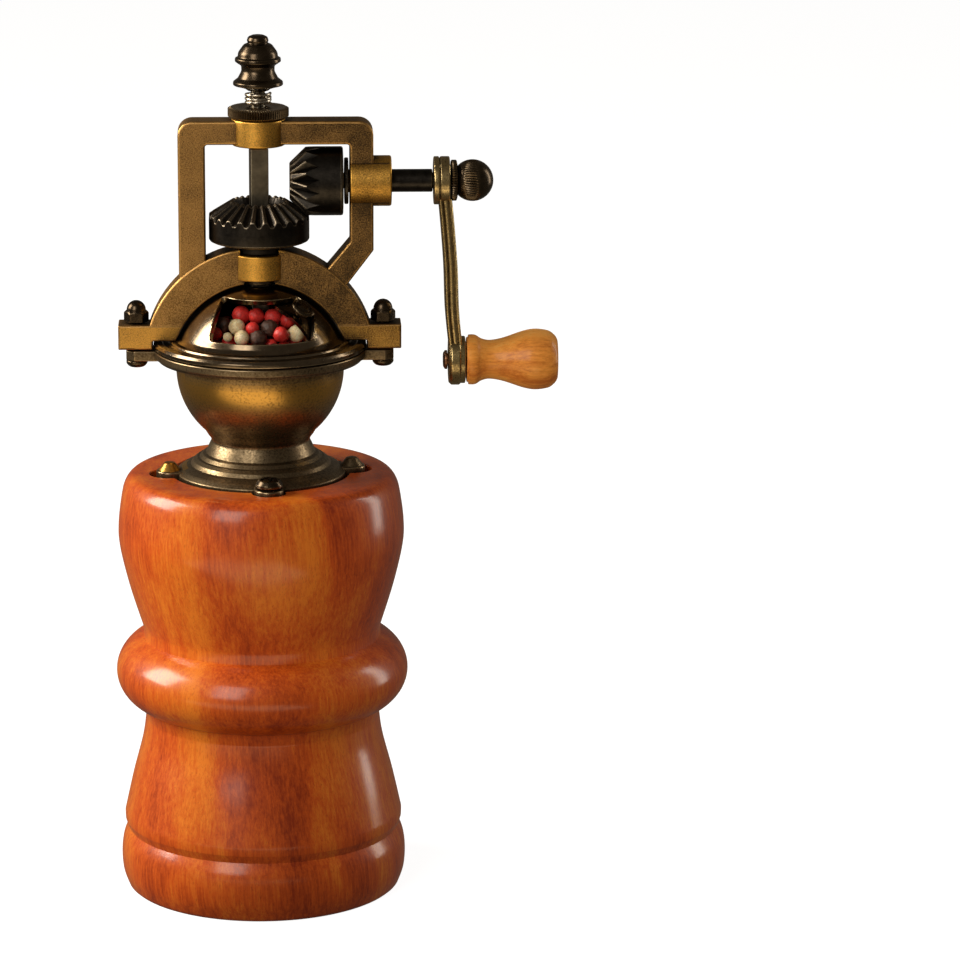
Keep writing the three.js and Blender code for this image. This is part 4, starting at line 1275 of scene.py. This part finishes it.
def heap_of_corns():
    """Listed corns first, then a seeded fill that is pushed apart below them."""
    random.seed(HEAP_SEED)
    corns = [[Vector((x, y, z)), radius, kind, True] for x, y, z, radius, kind in WINDOW_CORNS]
    while len(corns) < CORN_COUNT:
        kind = random.choice(("red", "cream", "black", "black", "red"))
        radius = random.uniform(*CORN_RADII[kind])
        spot = Vector((random.uniform(-FILL_SPREAD, FILL_SPREAD),
                       random.uniform(-FILL_SPREAD, FILL_SPREAD), random.uniform(*FILL_HEIGHTS)))
        if spot.length < HEAP_RADIUS - radius and spot.xy.length > SPINDLE_CLEARANCE + radius:
            corns.append([spot, radius, kind, False])
    for _ in range(SETTLING_PASSES):
        for k, (spot, radius, kind, fixed) in enumerate(corns):
            for other, other_radius, _kind, other_fixed in corns[k + 1:]:
                gap = other - spot
                overlap = radius + other_radius - gap.length
                if overlap <= 0 or (fixed and other_fixed):
                    continue
                push = gap.normalized() * overlap * 0.5
                if not fixed:
                    spot -= push
                if not other_fixed:
                    other += push
            if fixed:
                continue
            spot.z -= SINKING
            flat = spot.xy.length
            if flat < SPINDLE_CLEARANCE + radius:
                spot.xy = spot.xy.normalized() * (SPINDLE_CLEARANCE + radius)
            roof = HEAP_PEAK - HEAP_SLOPE * spot.xy.length
            spot.z = max(HEAP_FLOOR, min(spot.z, roof))
            if spot.length > HEAP_RADIUS - radius:
                spot *= (HEAP_RADIUS - radius) / spot.length
    return corns


def corn_surface(direction, radius, kind, seed):
    """How far the skin stands from a corn's centre in one direction."""
    shift = Vector((seed * 3.1, seed * 1.7, -seed * 2.3))
    broad = noise.noise(direction * 1.1 + shift)
    if kind == "black":
        ridges = abs(noise.noise(direction * 3.4 + shift)) + 0.5 * abs(
            noise.noise(direction * 7.1 + shift))
        return radius * (0.93 + 0.06 * broad + 0.22 * (ridges - 0.3))
    if kind == "red":
        fine = abs(noise.noise(direction * 3.0 + shift))
        return radius * (0.97 + 0.07 * broad - 0.05 * fine)
    return radius * (0.98 + 0.03 * broad + 0.012 * noise.noise(direction * 8 + shift))


def peppercorns():
    corns = heap_of_corns()
    for kind, skin in CORN_SKINS.items():
        work = bmesh.new()
        for k, (spot, radius, its_kind, fixed) in enumerate(corns):
            if its_kind != kind:
                continue
            ball = bmesh.ops.create_icosphere(work, subdivisions=4 if fixed else 3, radius=1)
            for vertex in ball["verts"]:
                direction = vertex.co.normalized()
                vertex.co = spot + direction * corn_surface(direction, radius, kind, k)
        mesh = bpy.data.meshes.new(kind + "_peppercorns")
        work.to_mesh(mesh)
        work.free()
        mesh.transform(Matrix.Scale(MM, 4) @ MILL_LINE @ Matrix.Translation((0, 0, HOPPER_Z)))
        mesh.shade_smooth()
        mesh.materials.append(skin)
        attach(add_object(mesh.name, mesh), "mill_body")


# --- stage, light and camera


FLOOR_SIZE = 12
FLOOR_GLOW = 0.93


def stage():
    bpy.ops.mesh.primitive_plane_add(size=FLOOR_SIZE)
    floor = bpy.context.object
    floor.name = "floor"
    shader = Shader("floor", roughness=0.9, Specular_IOR_Level=0.1)
    shader.surface.inputs["Base Color"].default_value = (0.3, 0.3, 0.3, 1)
    shader.surface.inputs["Emission Color"].default_value = (1, 1, 1, 1)
    shader.surface.inputs["Emission Strength"].default_value = FLOOR_GLOW
    floor.data.materials.append(shader.material)
    floor.visible_glossy = False
    floor.visible_diffuse = False


LAMP_TARGET = (AXIS_X * MM, 0, 0.11)


def lamp(name, size, power, colour, location, turn):
    data = bpy.data.lights.new(name, "AREA")
    data.shape = "RECTANGLE"
    data.size, data.size_y = size
    data.energy = power
    data.color = colour
    made = add_object(name, data)
    made.location = location
    made.rotation_euler = turn
    made.visible_camera = False


def soft_box(name, direction, distance, size, power, colour):
    """Rectangular lamp that looks at the middle of the mill from a direction."""
    towards = Vector(direction).normalized()
    lamp(name, size, power, colour, Vector(LAMP_TARGET) + towards * distance,
         towards.to_track_quat("Z", "Y").to_euler())


def lights():
    soft_box("left_lamp", (-0.889, 0.084, 0.453), 1.0, (0.50, 0.56), 14.5, (1.0, 0.92, 0.80))
    soft_box("front_box", (-0.42, -0.78, 0.45), 1.2, (0.48, 0.8), 6.4, (1.0, 0.94, 0.85))
    soft_box("right_box", (0.93, 0.28, 0.22), 1.0, (0.20, 0.75), 3.0, (1.0, 0.94, 0.84))
    # Warm light that comes up from the table in front of the mill.
    lamp("table_glow", (0.42, 0.30), 0.62, (1.0, 0.80, 0.52),
         (AXIS_X * MM - 0.10, -0.30, 0.004), (math.pi, 0, 0))
    world = bpy.data.worlds.new("studio")
    bpy.context.scene.world = world
    world.use_nodes = True
    background = world.node_tree.nodes["Background"]
    background.inputs["Color"].default_value = (0.105, 0.092, 0.074, 1)
    background.inputs["Strength"].default_value = 1.0


CAMERA_BACK = 1126                # millimetres in front of the mill's axis
CAMERA_HEIGHT = 391.5
CAMERA_PITCH = 14.254             # degrees down
CAMERA_YAW = 2.75                 # degrees to the right
CAMERA_ROLL = -0.243
CAMERA_LENS = 172.47


def camera():
    data = bpy.data.cameras.new("camera")
    data.lens = CAMERA_LENS
    made = add_object("camera", data)
    made.location = (AXIS_X * MM, -CAMERA_BACK * MM, CAMERA_HEIGHT * MM)
    made.rotation_euler = [math.radians(angle)
                           for angle in (90 - CAMERA_PITCH, CAMERA_ROLL, -CAMERA_YAW)]
    bpy.context.scene.camera = made


# --- everything together

bpy.context.scene.view_settings.view_transform = "Standard"
for make in (camera, stage, lights, wood_body, hopper_bowl, hopper_dome, hopper_door, door_knob,
             bracket, foot_bolts, acorn_nuts, flange_screws, spindle, spindle_bush,
             adjusting_nut, adjusting_spring, finial_nut, drive_gear, pinion, crank_shaft,
             thrust_washer, crank_arm, crank_nut, handle_rivet, crank_handle, peppercorns):
    make()
keep("outer_burr", BURR_STEEL)
keep("inner_burr", BURR_STEEL)
